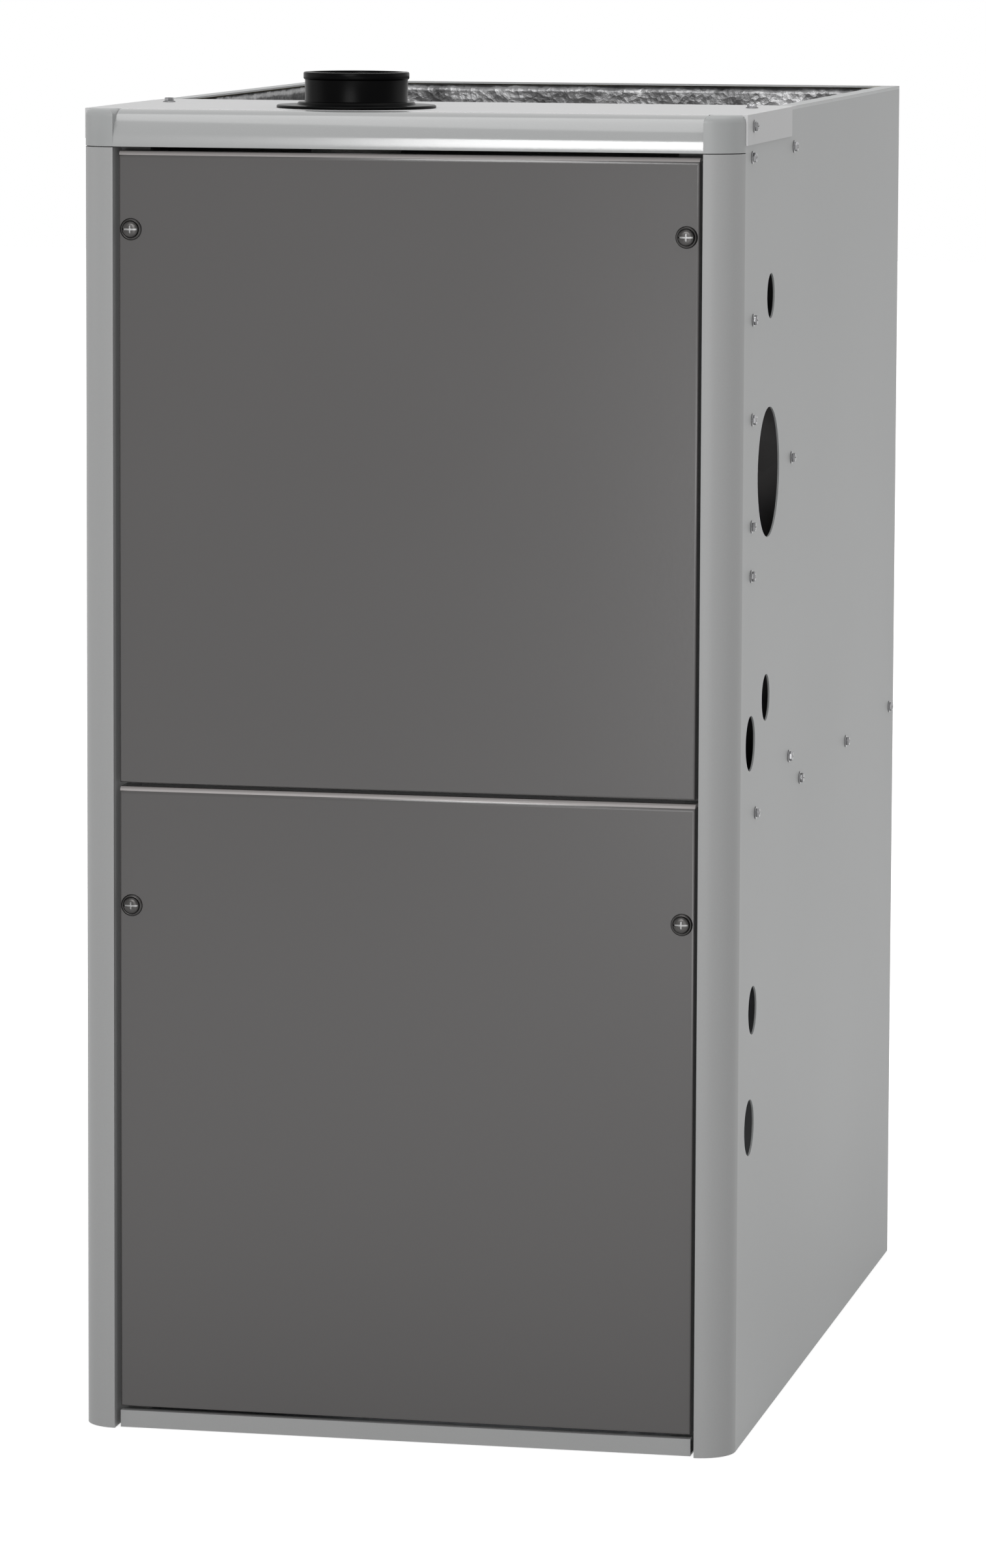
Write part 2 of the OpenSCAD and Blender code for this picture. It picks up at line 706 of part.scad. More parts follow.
module partition_panel() color([0.68, 0.69, 0.7]) difference() {
    x = wall_x - seat_gap;
    union() {
        block([-x, panel_front_y, deck_z], [x, panel_y, under_top_z]);
        both_sides() block([x - sheet_t, panel_front_y - fold_w, deck_z],
            [x, panel_y, under_top_z - 2 * sheet_t]);
        block([-x + seat_w, panel_front_y - fold_w, under_top_z - sheet_t],
            [x - seat_w, panel_y, under_top_z]);
        block([-x, panel_front_y - fold_w, deck_z], [x, panel_y, deck_z + sheet_t]);
    }
    for (bx = burner_xs) rod_y(panel_front_y - 1, sheet_t + 2, bx, burner_z, tube_r + 0.1);
    block([-coil_x + 8, panel_front_y - 1, coil_z0 + 6], [coil_x - 8, panel_y + 1, coil_z1 - 6]);
    side_screw_shanks(run_gap);
}

module foil_insulation() color([0.75, 0.76, 0.78]) {
    x = wall_x - seat_gap;
    y0 = panel_y + 0.4;
    y1 = back_y - sheet_t - seat_gap;
    z0 = deck_z + 0.4;
    difference() {
        block([-x, y0, z0], [x, y1, under_top_z - 0.4]);
        block([-x + blanket_t, y0 - 1, z0 - 1], [x - blanket_t, y1 - blanket_t, cabinet_h]);
        for (s = [-1, 1]) translate([s * x, y1, z0 - 1]) rotate(45)
            cube([2 * bend_r, 2 * bend_r, 2 * cabinet_h], center = true);
    }
}

module vent_collar() color([0.06, 0.06, 0.065]) {
    translate([-vent_x, pipe_y, 0]) difference() {
        union() {
            translate([0, 0, cabinet_h]) cylinder(r = collar_flange_r, h = 2);
            translate([0, 0, cabinet_h]) cylinder(r = collar_r + 5, h = 4);
            translate([0, 0, cabinet_h]) cylinder(r = collar_r, h = collar_h);
            translate([0, 0, cabinet_h + collar_h - 5]) cylinder(r = collar_r + 1, h = 5);
        }
        translate([0, 0, cabinet_h - 1]) cylinder(r = vent_r + 0.35, h = collar_h + 2);
    }
}

// One sheet screw with its washer face on the plane z = 0, shank downwards
module sheet_screw() {
    cylinder(r = screw_head_r, h = 0.8);
    cylinder(r = screw_head_r * 0.78, h = screw_head_h, $fn = 6);
    translate([0, 0, -screw_len + 1]) cylinder(r = screw_r, h = screw_len - 1 + eps);
}

module cabinet_screws() color([0.5, 0.5, 0.5]) {
    both_sides() {
        for (s = SIDE_SCREWS) translate([half_w, front_y + s[0], s[1]]) rotate([0, 90, 0])
            sheet_screw();
        translate([half_w + sheet_t, front_y + tab_screw_y, tab_screw_z]) rotate([0, 90, 0])
            sheet_screw();
        translate([top_screw_x, top_screw_y, cabinet_h]) sheet_screw();
    }
}

// ---- Doors ----

// A door tray's solid form from z0 to z1, drawn in by an inset
module door_form(z0, z1, inset) {
    r = door_top_r - inset;
    e = door_edge_r - inset;
    x = door_x - inset;
    y0 = door_y + inset;
    depth = door_d - inset + (inset > 0 ? 1 : 0);
    intersection() {
        along_x(-x, 2 * x) {
            translate([y0, z0 + inset + e]) square([depth, z1 - inset - r - z0 - inset - e]);
            translate([y0 + r, z0 + inset]) square([depth - r, z1 - z0 - 2 * inset]);
            translate([y0 + e, z0 + inset]) square([r, r + e]);
            translate([y0 + r, z1 - inset - r]) circle(r);
            translate([y0 + e, z0 + inset + e]) circle(e);
        }
        translate([0, 0, z0 - 1]) linear_extrude(z1 - z0 + 2) {
            translate([-x, y0 + e]) square([2 * x, depth - e]);
            translate([-x + e, y0]) square([2 * (x - e), depth]);
            for (s = [-1, 1]) translate([s * (x - e), y0 + e]) circle(e);
        }
    }
}

module door(z0, z1, fastener_z) difference() {
    door_form(z0, z1, 0);
    door_form(z0, z1, sheet_t);
    for (s = [-1, 1])
        rod_y(door_y - 1, sheet_t + 2, s * fastener_x, fastener_z, fastener_r + run_gap);
}

module upper_door() color([0.37, 0.365, 0.36]) door(upper_door_z, door_top_z, upper_fastener_z);

module lower_door() color([0.37, 0.365, 0.36]) door(lower_door_z, lower_top_z, lower_fastener_z);

// A captive quarter-turn fastener with its cup washer, on the door face
module door_fastener(x, z) color([0.42, 0.41, 0.4]) {
    translate([x, door_y, z]) rotate([90, 0, 0]) {
        difference() {
            cylinder(r1 = washer_r, r2 = washer_r - 1.2, h = 1.8);
            translate([0, 0, 0.6]) cylinder(r = fastener_head_r + 0.1, h = 3);
            translate([0, 0, -1]) cylinder(r = fastener_r + run_gap, h = 4);
        }
        difference() {
            union() {
                translate([0, 0, 0.6]) cylinder(r = fastener_head_r, h = 1.8);
                translate([0, 0, 2.4]) cylinder(r1 = fastener_head_r, r2 = 3.6, h = 1.7);
                translate([0, 0, -door_d - receptacle_d])
                    cylinder(r = fastener_r, h = door_d + receptacle_d + 1);
                translate([0, 0, -sheet_t - 1.4]) cylinder(r = fastener_r + 2, h = 1);
            }
            for (a = [0, 90]) rotate(a) translate([-4.6, -0.6, 2.2]) cube([9.2, 1.2, 3]);
        }
    }
}

module upper_door_fastener_left() door_fastener(-fastener_x, upper_fastener_z);

module upper_door_fastener_right() door_fastener(fastener_x, upper_fastener_z);

module lower_door_fastener_left() door_fastener(-fastener_x, lower_fastener_z);

module lower_door_fastener_right() door_fastener(fastener_x, lower_fastener_z);

// ---- Heat exchanger ----

// One primary tube's centre line swept with radius r, in the plane x = 0
module serpentine(r, ends) {
    y0 = panel_front_y - ends;
    rod_y(y0, rear_bend_y - y0, 0, burner_z, r);
    rod_y(front_bend_y, rear_bend_y - front_bend_y, 0, middle_z, r);
    rod_y(front_bend_y, rear_box_y0 + sheet_t + ends - front_bend_y, 0, lower_z, r);
    translate([0, rear_bend_y, middle_z + rear_bend_r]) rotate([90, 0, 90]) rotate(-90)
        rotate_extrude(angle = 180) translate([rear_bend_r, 0]) circle(r);
    translate([0, front_bend_y, lower_z + front_bend_r]) rotate([90, 0, 90]) rotate(90)
        rotate_extrude(angle = 180) translate([front_bend_r, 0]) circle(r);
}

module heat_exchanger_tubes() color([0.72, 0.7, 0.66]) for (bx = burner_xs)
    translate([bx, 0, 0]) difference() {
        serpentine(tube_r, 0);
        serpentine(tube_r - tube_wall, 1);
    }

module transition_box() color([0.66, 0.65, 0.62]) {
    x = box_x;
    low = coil_z0 - 6;
    high = lower_z + tube_r + 14;
    difference() {
        block([-x, rear_box_y0, low], [x, rear_box_y1, high]);
        block([-x + sheet_t, rear_box_y0 + sheet_t, low + sheet_t],
            [x - sheet_t, rear_box_y1 - sheet_t, high - sheet_t]);
        for (bx = burner_xs) rod_y(rear_box_y0 - 1, sheet_t + 2, bx, lower_z, tube_r + 0.1);
        for (cx = coil_xs) for (cz = coil_zs)
            rod_y(rear_box_y0 - 1, sheet_t + 2, cx, cz, coil_tube_r + 0.1);
    }
}

module secondary_coil() color([0.78, 0.79, 0.8]) {
    fins_y0 = panel_y + 14;
    pitch = (rear_box_y0 - 10 - fins_y0) / fin_count;
    difference() {
        union() {
            for (i = [0:fin_count - 1])
                block([-coil_x, fins_y0 + i * pitch, coil_z0],
                    [coil_x, fins_y0 + i * pitch + fin_t, coil_z1]);
            block([-coil_x, panel_y, coil_z0], [coil_x, panel_y + 2, coil_z1]);
            for (cx = coil_xs) for (cz = coil_zs)
                rod_y(panel_y - 8, rear_box_y0 + sheet_t - panel_y + 8, cx, cz, coil_tube_r);
        }
        for (cx = coil_xs) for (cz = coil_zs)
            rod_y(panel_y - 9, rear_box_y0 - panel_y + 20, cx, cz, coil_tube_r - 1);
    }
}

module condensate_header() color([0.1, 0.1, 0.1]) difference() {
    wall = 3;
    y1 = panel_front_y;
    union() {
        block([-header_x, header_front_y, header_z0], [header_x, y1, header_z1]);
        block([-header_x - 6, y1 - 4, header_z0 - 6], [header_x + 6, y1, header_z1 + 6]);
    }
    block([-header_x + wall, header_front_y + wall, header_z0 + wall],
        [header_x - wall, y1 + 1, header_z1 - wall]);
    rod_y(header_front_y - 1, wall + 2, inducer_x, inducer_z, 34);
    rod_x(header_x - wall - 1, wall + 2, tap_y, tap_z, 5);
}

// ---- Burners and gas ----

module burner_box() color([0.62, 0.63, 0.64]) difference() {
    union() {
        block([-box_x, box_front_y, box_low_z], [box_x, panel_front_y, box_high_z]);
        block([-box_x - 10, panel_front_y - 1, box_low_z - 8],
            [box_x + 10, panel_front_y, box_high_z + 8]);
    }
    block([-box_x + 1, box_front_y + 1, box_low_z + 1],
        [box_x - 1, panel_front_y + 1, box_high_z - 1]);
    for (bx = burner_xs) rod_y(box_front_y - 1, 3, bx, burner_z, orifice_r + 0.1);
    rod_y(box_front_y - 1, 3, 0, burner_z + 30, 8);
    rod_x(box_x - 2, 4, switch_y + 8, burner_z - 24, igniter_r + 0.1);
    rod_x(-box_x - 2, 4, switch_y + 8, burner_z - 24, sensor_r + 0.1);
}

module sight_glass() color([0.6, 0.7, 0.75]) {
    rod_y(box_front_y - 2, 2, 0, burner_z + 30, 11);
    rod_y(box_front_y - 0.5, 1.4, 0, burner_z + 30, 7.9);
}

module burners() color([0.6, 0.6, 0.58]) {
    y0 = box_front_y + 5;
    y1 = panel_front_y - 2;
    length = y1 - y0;
    for (bx = burner_xs) translate([bx, y0, burner_z]) rotate([-90, 0, 0]) difference() {
        union() {
            cylinder(r1 = 17, r2 = 11, h = length * 0.3);
            translate([0, 0, length * 0.3 - eps]) cylinder(r1 = 11, r2 = 16, h = length * 0.5);
            translate([0, 0, length * 0.8 - 2 * eps]) cylinder(r = 16, h = length * 0.2);
        }
        translate([0, 0, -eps]) cylinder(r1 = 16, r2 = 10, h = length * 0.3 + 2 * eps);
        translate([0, 0, length * 0.3 - eps]) cylinder(r1 = 10, r2 = 15, h = length * 0.5);
        translate([0, 0, length * 0.8 - 3 * eps]) cylinder(r = 15, h = length);
    }
    difference() {
        block([-box_x + 3, y1 - 9, box_low_z + 1], [box_x - 3, y1 - 8, burner_z + 18]);
        for (bx = burner_xs) rod_y(y1 - 10, 3, bx, burner_z, 15.5);
    }
}

module gas_manifold() color([0.2, 0.2, 0.21]) {
    x0 = burner_xs[0] - 24;
    difference() {
        union() {
            rod_x(x0, valve_x0 - x0, gas_y, burner_z, manifold_r);
            rod_x(x0 - 4, 14, gas_y, burner_z, manifold_r + 2.5);
            for (bx = burner_xs) rod_y(gas_y, box_front_y + 3 - gas_y, bx, burner_z, orifice_r);
            block([-box_x + 20, gas_y + 2, burner_z + manifold_r - 2],
                [-box_x + 22, box_front_y, burner_z + manifold_r + 10]);
            block([box_x - 22, gas_y + 2, burner_z + manifold_r - 2],
                [box_x - 20, box_front_y, burner_z + manifold_r + 10]);
        }
        rod_x(x0 + 2, valve_x0 - x0, gas_y, burner_z, manifold_r - 2.2);
        for (bx = burner_xs) rod_y(gas_y, box_front_y + 6 - gas_y, bx, burner_z, 0.9);
    }
}

module gas_valve() color([0.55, 0.56, 0.57]) difference() {
    y0 = gas_y - valve_d / 2;
    y1 = gas_y + valve_d / 2;
    z0 = burner_z - valve_h / 2;
    z1 = burner_z + valve_h / 2;
    union() {
        block([valve_x0, y0, z0], [valve_x1, y1, z1]);
        rod_x(valve_x1 - 1, 9, gas_y, burner_z, gas_inlet_r + 6);
        rod_z(z1 - 1, 23, valve_x0 + 15, gas_y, 12);
        rod_z(z1 - 1, 19, valve_x0 + 38, gas_y, 10);
    }
    rod_x(valve_x1 - 16, 26, gas_y, burner_z, gas_inlet_r);
    rod_x(valve_x0 - 1, 12, gas_y, burner_z, manifold_r - 2.2);
    rod_y(y0 - 1, 13, knob_x, knob_z, 3 + run_gap);
}

module gas_valve_knob() color([0.75, 0.12, 0.1]) {
    y0 = gas_y - valve_d / 2;
    rod_y(y0 - 8, 7.6, knob_x, knob_z, knob_r);
    rod_y(y0 - 1, 10, knob_x, knob_z, 3);
    block([knob_x - 2, y0 - 13, knob_z - knob_r], [knob_x + 2, y0 - 8 + eps, knob_z + knob_r]);
}

module igniter() color([0.85, 0.84, 0.8]) {
    z = burner_z - 24;
    rod_x(box_x - 24, 40, switch_y + 8, z, igniter_r);
    block([box_x, switch_y, z - 9], [box_x + 3, switch_y + 16, z + 9]);
    block([box_x - 44, switch_y + 7, z - 3], [box_x - 23, switch_y + 9, z + 3]);
}

module flame_sensor() color([0.8, 0.8, 0.78]) {
    z = burner_z - 24;
    rod_x(-box_x - 16, 34, switch_y + 8, z, sensor_r);
    block([-box_x - 3, switch_y, z - 9], [-box_x, switch_y + 16, z + 9]);
    rod_x(-box_x + 17, 26, switch_y + 8, z, 1.4);
}

module rollout_switches() color([0.14, 0.14, 0.14]) for (x = switch_xs)
    difference() {
        union() {
            block([x - 18, switch_y - 8, box_high_z], [x + 18, switch_y + 8, box_high_z + 1]);
            rod_z(box_high_z, switch_h, x, switch_y, 9);
        }
        rod_z(box_high_z + 2, switch_h, x, switch_y, button_r + run_gap);
    }

module reset_button(x) color([0.8, 0.1, 0.1])
    rod_z(box_high_z + 2 + button_travel + 0.3, switch_h - 2 - button_travel - 0.3 + button_h - 1,
        x, switch_y, button_r);

module reset_button_left() reset_button(switch_xs[0]);

module reset_button_right() reset_button(switch_xs[1]);

module limit_switch() color([0.2, 0.2, 0.2]) {
    x = limit_x;
    z = limit_z;
    block([x - 18, panel_front_y - 1.2, z - 9], [x + 18, panel_front_y, z + 9]);
    rod_y(panel_front_y - 14, 13, x, z, 9);
    for (dx = [-5, 5]) block([x + dx - 2.5, panel_front_y - 21, z - 0.4],
        [x + dx + 2.5, panel_front_y - 13.9, z + 0.4]);
}

// ---- Inducer and vent ----

module inducer_scroll(extra) mirror([1, 0, 0])
    scroll_outline(inducer_r0 + extra, inducer_r1 + extra, inducer_out_w + 2 * extra, outlet_h);

module inducer_housing() color([0.08, 0.08, 0.085]) difference() {
    w = inducer_wall;
    union() {
        translate([inducer_x, 0, inducer_z]) along_y(inducer_y0, inducer_d) inducer_scroll(0);
        rod_z(outlet_z - 4, spigot_h + 4, -vent_x, inducer_y, inducer_d / 2);
        for (a = [40, 160, 280]) rod_y(inducer_y0 - motor_gap, motor_gap + 1,
            inducer_x + 27 * cos(a), inducer_z + 27 * sin(a), 3.5);
    }
    translate([inducer_x, 0, inducer_z]) along_y(inducer_y0 + w, inducer_d - 2 * w)
        difference() {
            inducer_scroll(-w);
            translate([-200, outlet_h - 2 * w]) square([400, 50]);
        }
    rod_z(outlet_z - 10, spigot_h + 20, -vent_x, inducer_y, inducer_d / 2 - w - 1);
    rod_y(header_front_y - w - 1, w + 2, inducer_x, inducer_z, 30);
    rod_y(inducer_y0 - 1, w + 2, inducer_x, inducer_z, inducer_shaft_r + 1.5);
}

module inducer_motor() color([0.3, 0.3, 0.32]) {
    y1 = inducer_y0 - motor_gap;
    y0 = y1 - motor_stack;
    difference() {
        union() {
            block([inducer_x - 36, y0 + 8, inducer_z - 30], [inducer_x + 36, y1 - 8, inducer_z + 30]);
            rod_y(y0, motor_stack, inducer_x, inducer_z, 16);
            block([inducer_x - 30, y1 - 3, inducer_z - 27], [inducer_x + 30, y1, inducer_z + 27]);
            for (s = [-1, 1]) rod_y(y1 - 9, 8, inducer_x + s * 24, inducer_z + s * 18, 3);
            block([inducer_x - 20, y0 + 3, inducer_z - 38], [inducer_x + 20, y1 - 6, inducer_z - 22]);
        }
        rod_y(y0 - 1, motor_stack + 2, inducer_x, inducer_z, inducer_shaft_r + run_gap);
    }
}

module inducer_wheel() color([0.7, 0.7, 0.72]) {
    y1 = inducer_y0 + inducer_wall + 4;
    blades = 24;
    difference() {
        union() {
            rod_y(y1, 2, inducer_x, inducer_z, inducer_wheel_r);
            rod_y(y1, inducer_wheel_w * 0.7, inducer_x, inducer_z, inducer_shaft_r + 4);
            for (i = [0:blades - 1]) translate([inducer_x, y1, inducer_z])
                rotate([0, i * 360 / blades, 0])
                translate([inducer_wheel_r * 0.55, 0, -0.5])
                cube([inducer_wheel_r * 0.42, inducer_wheel_w, 1]);
        }
        rod_y(y1 - 1, inducer_wheel_w + 2, inducer_x, inducer_z, inducer_shaft_r);
    }
}

module inducer_shaft() color([0.7, 0.7, 0.7]) {
    y0 = inducer_y0 - motor_gap - motor_stack - fan_gap - fan_d - 3;
    y1 = inducer_y0 + inducer_wall + 4 + inducer_wheel_w * 0.7 + 2;
    rod_y(y0, y1 - y0, inducer_x, inducer_z, inducer_shaft_r);
}

module inducer_cooling_fan() color([0.85, 0.85, 0.82]) {
    y0 = inducer_y0 - motor_gap - motor_stack - fan_gap - fan_d;
    blades = 8;
    difference() {
        union() {
            rod_y(y0, fan_d, inducer_x, inducer_z, inducer_shaft_r + 4);
            for (i = [0:blades - 1]) translate([inducer_x, y0 + fan_d / 2, inducer_z])
                rotate([0, i * 360 / blades, 0]) rotate([35, 0, 0])
                translate([inducer_shaft_r + 2, -0.6, -5])
                cube([fan_r - inducer_shaft_r - 2, 1.2, 10]);
        }
        rod_y(y0 - 1, fan_d + 2, inducer_x, inducer_z, inducer_shaft_r);
    }
}

module vent_coupling() color([0.12, 0.12, 0.12]) translate([-vent_x, inducer_y, 0]) difference() {
    translate([0, 0, outlet_z + 0.2]) cylinder(r = vent_r + coupling_wall, h = coupling_h);
    translate([0, 0, outlet_z - 1]) cylinder(r = inducer_d / 2 + 0.2, h = spigot_h + 1.4);
    translate([0, 0, outlet_z + spigot_h]) cylinder(r = vent_r + 0.15, h = coupling_h);
}

module clamp_ring(r, width) difference() {
    union() {
        cylinder(r = r + 1, h = width);
        translate([r - 1, -6, 0]) cube([8, 12, width]);
    }
    translate([0, 0, -1]) cylinder(r = r + 0.05, h = width + 2);
}

module hose_clamps() color([0.75, 0.76, 0.78]) {
    for (z = [outlet_z + 5, coupling_z1 - 13]) translate([-vent_x, inducer_y, z]) rotate(-60)
        clamp_ring(vent_r + coupling_wall, 9);
}

// The offset bend between the inducer's outlet and the vent pipe: a half cosine wave
module vent_bend() color([0.9, 0.9, 0.88]) translate([-vent_x, 0, 0]) {
    sides = 24;
    rings = concat([[inducer_y, stub_z, 0]], [for (i = [0:bend_steps]) let (t = i / bend_steps)
        [inducer_y - pipe_step * (1 - cos(180 * t)) / 2, bend_z0 + bend_h * t,
            atan(-pipe_step * PI * sin(180 * t) / bend_h / 2)]]);
    radii = [vent_r, vent_r - vent_wall];
    points = [for (r = radii) for (g = rings) for (k = [0:sides - 1])
        let (a = k * 360 / sides, d = r * sin(a))
        [r * cos(a), g[0] + d * cos(g[2]), g[1] - d * sin(g[2])]];
    inner = len(rings) * sides;
    walls = [for (i = [0:bend_steps]) for (k = [0:sides - 1])
        let (a = i * sides + k, b = i * sides + (k + 1) % sides)
        each [[a, a + sides, b], [b, a + sides, b + sides],
            [a + inner, b + inner, a + inner + sides], [b + inner, b + inner + sides, a + inner + sides]]];
    top = inner - sides;
    ends = [for (k = [0:sides - 1]) let (n = (k + 1) % sides)
        each [[k, n, k + inner], [n, n + inner, k + inner],
            [k + top, k + inner + top, n + top], [n + top, k + inner + top, n + inner + top]]];
    polyhedron(points, concat(walls, ends));
}

module vent_pipe() color([0.9, 0.9, 0.88]) translate([-vent_x, pipe_y, bend_z0 + bend_h]) difference() {
    cylinder(r = vent_r, h = pipe_top_z - bend_z0 - bend_h);
    translate([0, 0, -1]) cylinder(r = vent_r - vent_wall, h = cabinet_h);
}

module pressure_switch() color([0.18, 0.18, 0.19]) {
    y = signal_y;
    z = pressure_z;
    block([-wall_x + 0.3, y - 16, z - 34], [-wall_x + 2, y + 16, z + 34]);
    rod_x(-wall_x + 2, 20, y, z, 30);
    rod_x(-wall_x + 21, 8, y, z, 20);
    rod_x(-wall_x + 28, 10, y, z, 6);
    rod_z(nipple_z, 16, pressure_x, y, 2.6);
    block([pressure_x - 4, y - 3, z - 19], [pressure_x + 4, y + 3, z - 4]);
}

module pressure_tube() color([0.15, 0.15, 0.16]) hose(PRESSURE_ROUTE, 3.5);

module condensate_trap() color([0.1, 0.1, 0.11]) difference() {
    y0 = trap_y0;
    y1 = trap_y1;
    x0 = header_x + 22;
    x1 = wall_x - 24;
    union() {
        block([x0, y0, deck_z + seat_gap], [x1, y1, trap_top_z]);
        rod_x(x1 - 1, wall_x - 3 - x1, front_y + drain_hole_y, drain_hole_z, drain_r);
    }
    block([x0 + 3, y0 + 3, deck_z + 4], [x1 - 3, y1 - 3, trap_top_z - 4]);
    rod_x(x1 - 4, 30, front_y + drain_hole_y, drain_hole_z, drain_r - 3);
    rod_y(y1 - 4, 6, trap_in_x, trap_in_z, 5);
}

module drain_hose() color([0.2, 0.2, 0.21]) hose(DRAIN_ROUTE, 7, 3, [0.1, 0.05, 1]);

// ---- Blower ----

module blower_scroll(extra) scroll_outline(scroll_r0 + extra, scroll_r1 + extra,
    scroll_out + 2 * extra, housing_top_z - blower_z);

module blower_housing() color([0.68, 0.69, 0.7]) difference() {
    t = sheet_t;
    union() {
        translate([0, blower_y, blower_z]) along_x(-housing_x, housing_w) blower_scroll(0);
        for (s = [-1, 1]) translate([s * housing_x, blower_y, blower_z]) rotate([0, s * 90, 0])
            translate([0, 0, -t]) cylinder(r1 = inlet_r + 8, r2 = inlet_r + 3, h = 4 + t);
        both_sides() block([housing_x - t, blower_y + 8, housing_top_z - t],
            [housing_x + 14, blower_y + scroll_r1 - 8, housing_top_z]);
    }
    translate([0, blower_y, blower_z]) along_x(-housing_x + t, housing_w - 2 * t) {
        blower_scroll(-t);
        translate([scroll_r1 - scroll_out + t, 0]) square([scroll_out - 2 * t, 400]);
    }
    rod_x(-housing_x - 10, housing_w + 20, blower_y, blower_z, inlet_r);
}

module blower_wheel() color([0.66, 0.67, 0.68]) {
    blade = 24;
    inner = wheel_r - blade;
    x0 = -wheel_w / 2;
    translate([0, blower_y, blower_z]) {
        along_x(x0, wheel_w) for (i = [0:blade_count - 1]) rotate(i * 360 / blade_count)
            polygon([[inner, 0], [inner + 9, 3.4], [wheel_r - 6, 4.6], [wheel_r - 0.4, 3],
                [wheel_r - 0.4, 4.2], [wheel_r - 6, 5.8], [inner + 9, 4.6], [inner, 1.2]]);
        for (x = [x0, -x0 - 5]) along_x(x, 5) difference() {
            circle(wheel_r);
            circle(wheel_r - 7);
        }
        difference() {
            union() {
                along_x(wheel_disc_x - 1, 2) circle(wheel_r - 2);
                along_x(wheel_disc_x - 24, 30) circle(hub_r);
            }
            along_x(wheel_disc_x - 40, 80) circle(shaft_r);
        }
    }
}

module blower_shaft() color([0.7, 0.7, 0.7])
    rod_x(wheel_disc_x - 26, motor_x0 + motor_len + 6 - wheel_disc_x + 26, blower_y, blower_z, shaft_r);

module blower_motor() color([0.16, 0.16, 0.17]) difference() {
    union() {
        rod_x(motor_x0 + 4, motor_len - 8, blower_y, blower_z, motor_r);
        rod_x(motor_x0, motor_len, blower_y, blower_z, motor_r - 8);
    }
    rod_x(motor_x0 - 1, motor_len + 2, blower_y, blower_z, shaft_r + run_gap);
    difference() {
        rod_x(motor_x0 + 12, motor_len - 17, blower_y, blower_z, motor_r - 20);
        rod_x(motor_x0 + 11, motor_len, blower_y, blower_z, shaft_r + 10);
    }
    for (i = [0:11]) translate([0, blower_y, blower_z]) rotate([i * 30, 0, 0])
        translate([motor_x0 + motor_len - 6, -3, motor_r - 30]) cube([10, 6, 16]);
}

module motor_mount() color([0.6, 0.61, 0.62]) {
    arm_x = housing_x + 4 + seat_gap;
    foot_r0 = inlet_r + 9;
    foot_r1 = inlet_r + 28;
    difference() {
        rod_x(arm_x - 22, 28, blower_y, blower_z, motor_r + 2);
        rod_x(arm_x - 30, 60, blower_y, blower_z, motor_r + 0.1);
    }
    for (a = [90, 210, 330]) translate([arm_x, blower_y, blower_z]) rotate([a, 0, 0])
        difference() {
            translate([0, 0, -10]) linear_extrude(20) polygon([
                [0, motor_r + 0.8], [4, motor_r + 0.8], [4, foot_r0 + 6], [0, foot_r0 + 6],
                [0, foot_r1], [-4, foot_r1], [-4, foot_r0], [0, foot_r0]]);
            translate([-5, foot_r1 - 7, 0]) rotate([0, 90, 0]) cylinder(r = 3, h = 6);
        }
}

// ---- Controls ----

module control_board() color([0.1, 0.35, 0.16]) {
    y0 = board_y - board_len / 2;
    z0 = board_z - board_h / 2;
    x0 = board_x;
    block([x0, y0, z0], [x0 + 1.6, y0 + board_len, z0 + board_h]);
    for (y = [y0 + 6, y0 + board_len - 6]) for (z = [z0 + 6, z0 + board_h - 6])
        rod_x(-wall_x + 0.2, board_off - 0.2, y, z, 3.5);
    for (i = [0:3]) block([x0 + 1.6, relay_y + i * 26, board_z + 5],
        [x0 + 17, relay_y + 19 + i * 26, board_z + 33]);
    block([x0 + 1.6, plug_y, board_z + 43], [x0 + 19, plug_y + 60, board_z + 57]);
    block([x0 + 1.6, y0 + 14, z0 + 8], [x0 + 13, y0 + 70, z0 + 20]);
    block([x0 + 1.6, y0 + 84, z0 + 8], [x0 + 10, y0 + 138, z0 + 22]);
    rod_x(x0 + 1.6, 22, y0 + 120, z0 + 50, 11);
    block([x0 + 1.6, y0 + 40, z0 + 34], [x0 + 5, y0 + 66, z0 + 60]);
}

module transformer() color([0.22, 0.22, 0.23]) {
    y0 = transformer_y;
    z0 = transformer_z;
    x0 = -wall_x + 0.2;
    block([x0, y0 - 14, z0], [x0 + 2, y0 + 64, z0 + 56]);
    block([x0 + 2, y0, z0 + 2], [x0 + 40, y0 + 50, z0 + 54]);
    block([x0 + 10, y0 - 9, z0 + 12], [x0 + 32, y0 + 59, z0 + 44]);
}

module door_switch() color([0.9, 0.9, 0.88]) difference() {
    y0 = switch_body_y;
    union() {
        block([plunger_x - 9, y0, plunger_z - 12], [plunger_x + 9, y0 + 24, plunger_z + 12]);
        block([plunger_x - 14, y0 - 2, plunger_z - 14],
            [plunger_x + 14, y0, deck_z - sheet_t - seat_gap]);
    }
    rod_y(y0 - 3, 20, plunger_x, plunger_z, plunger_r + run_gap);
}

module door_switch_plunger() color([0.85, 0.3, 0.1])
    rod_y(plunger_tip_y, switch_body_y + 17 - plunger_travel - 1 - plunger_tip_y,
        plunger_x, plunger_z, plunger_r);

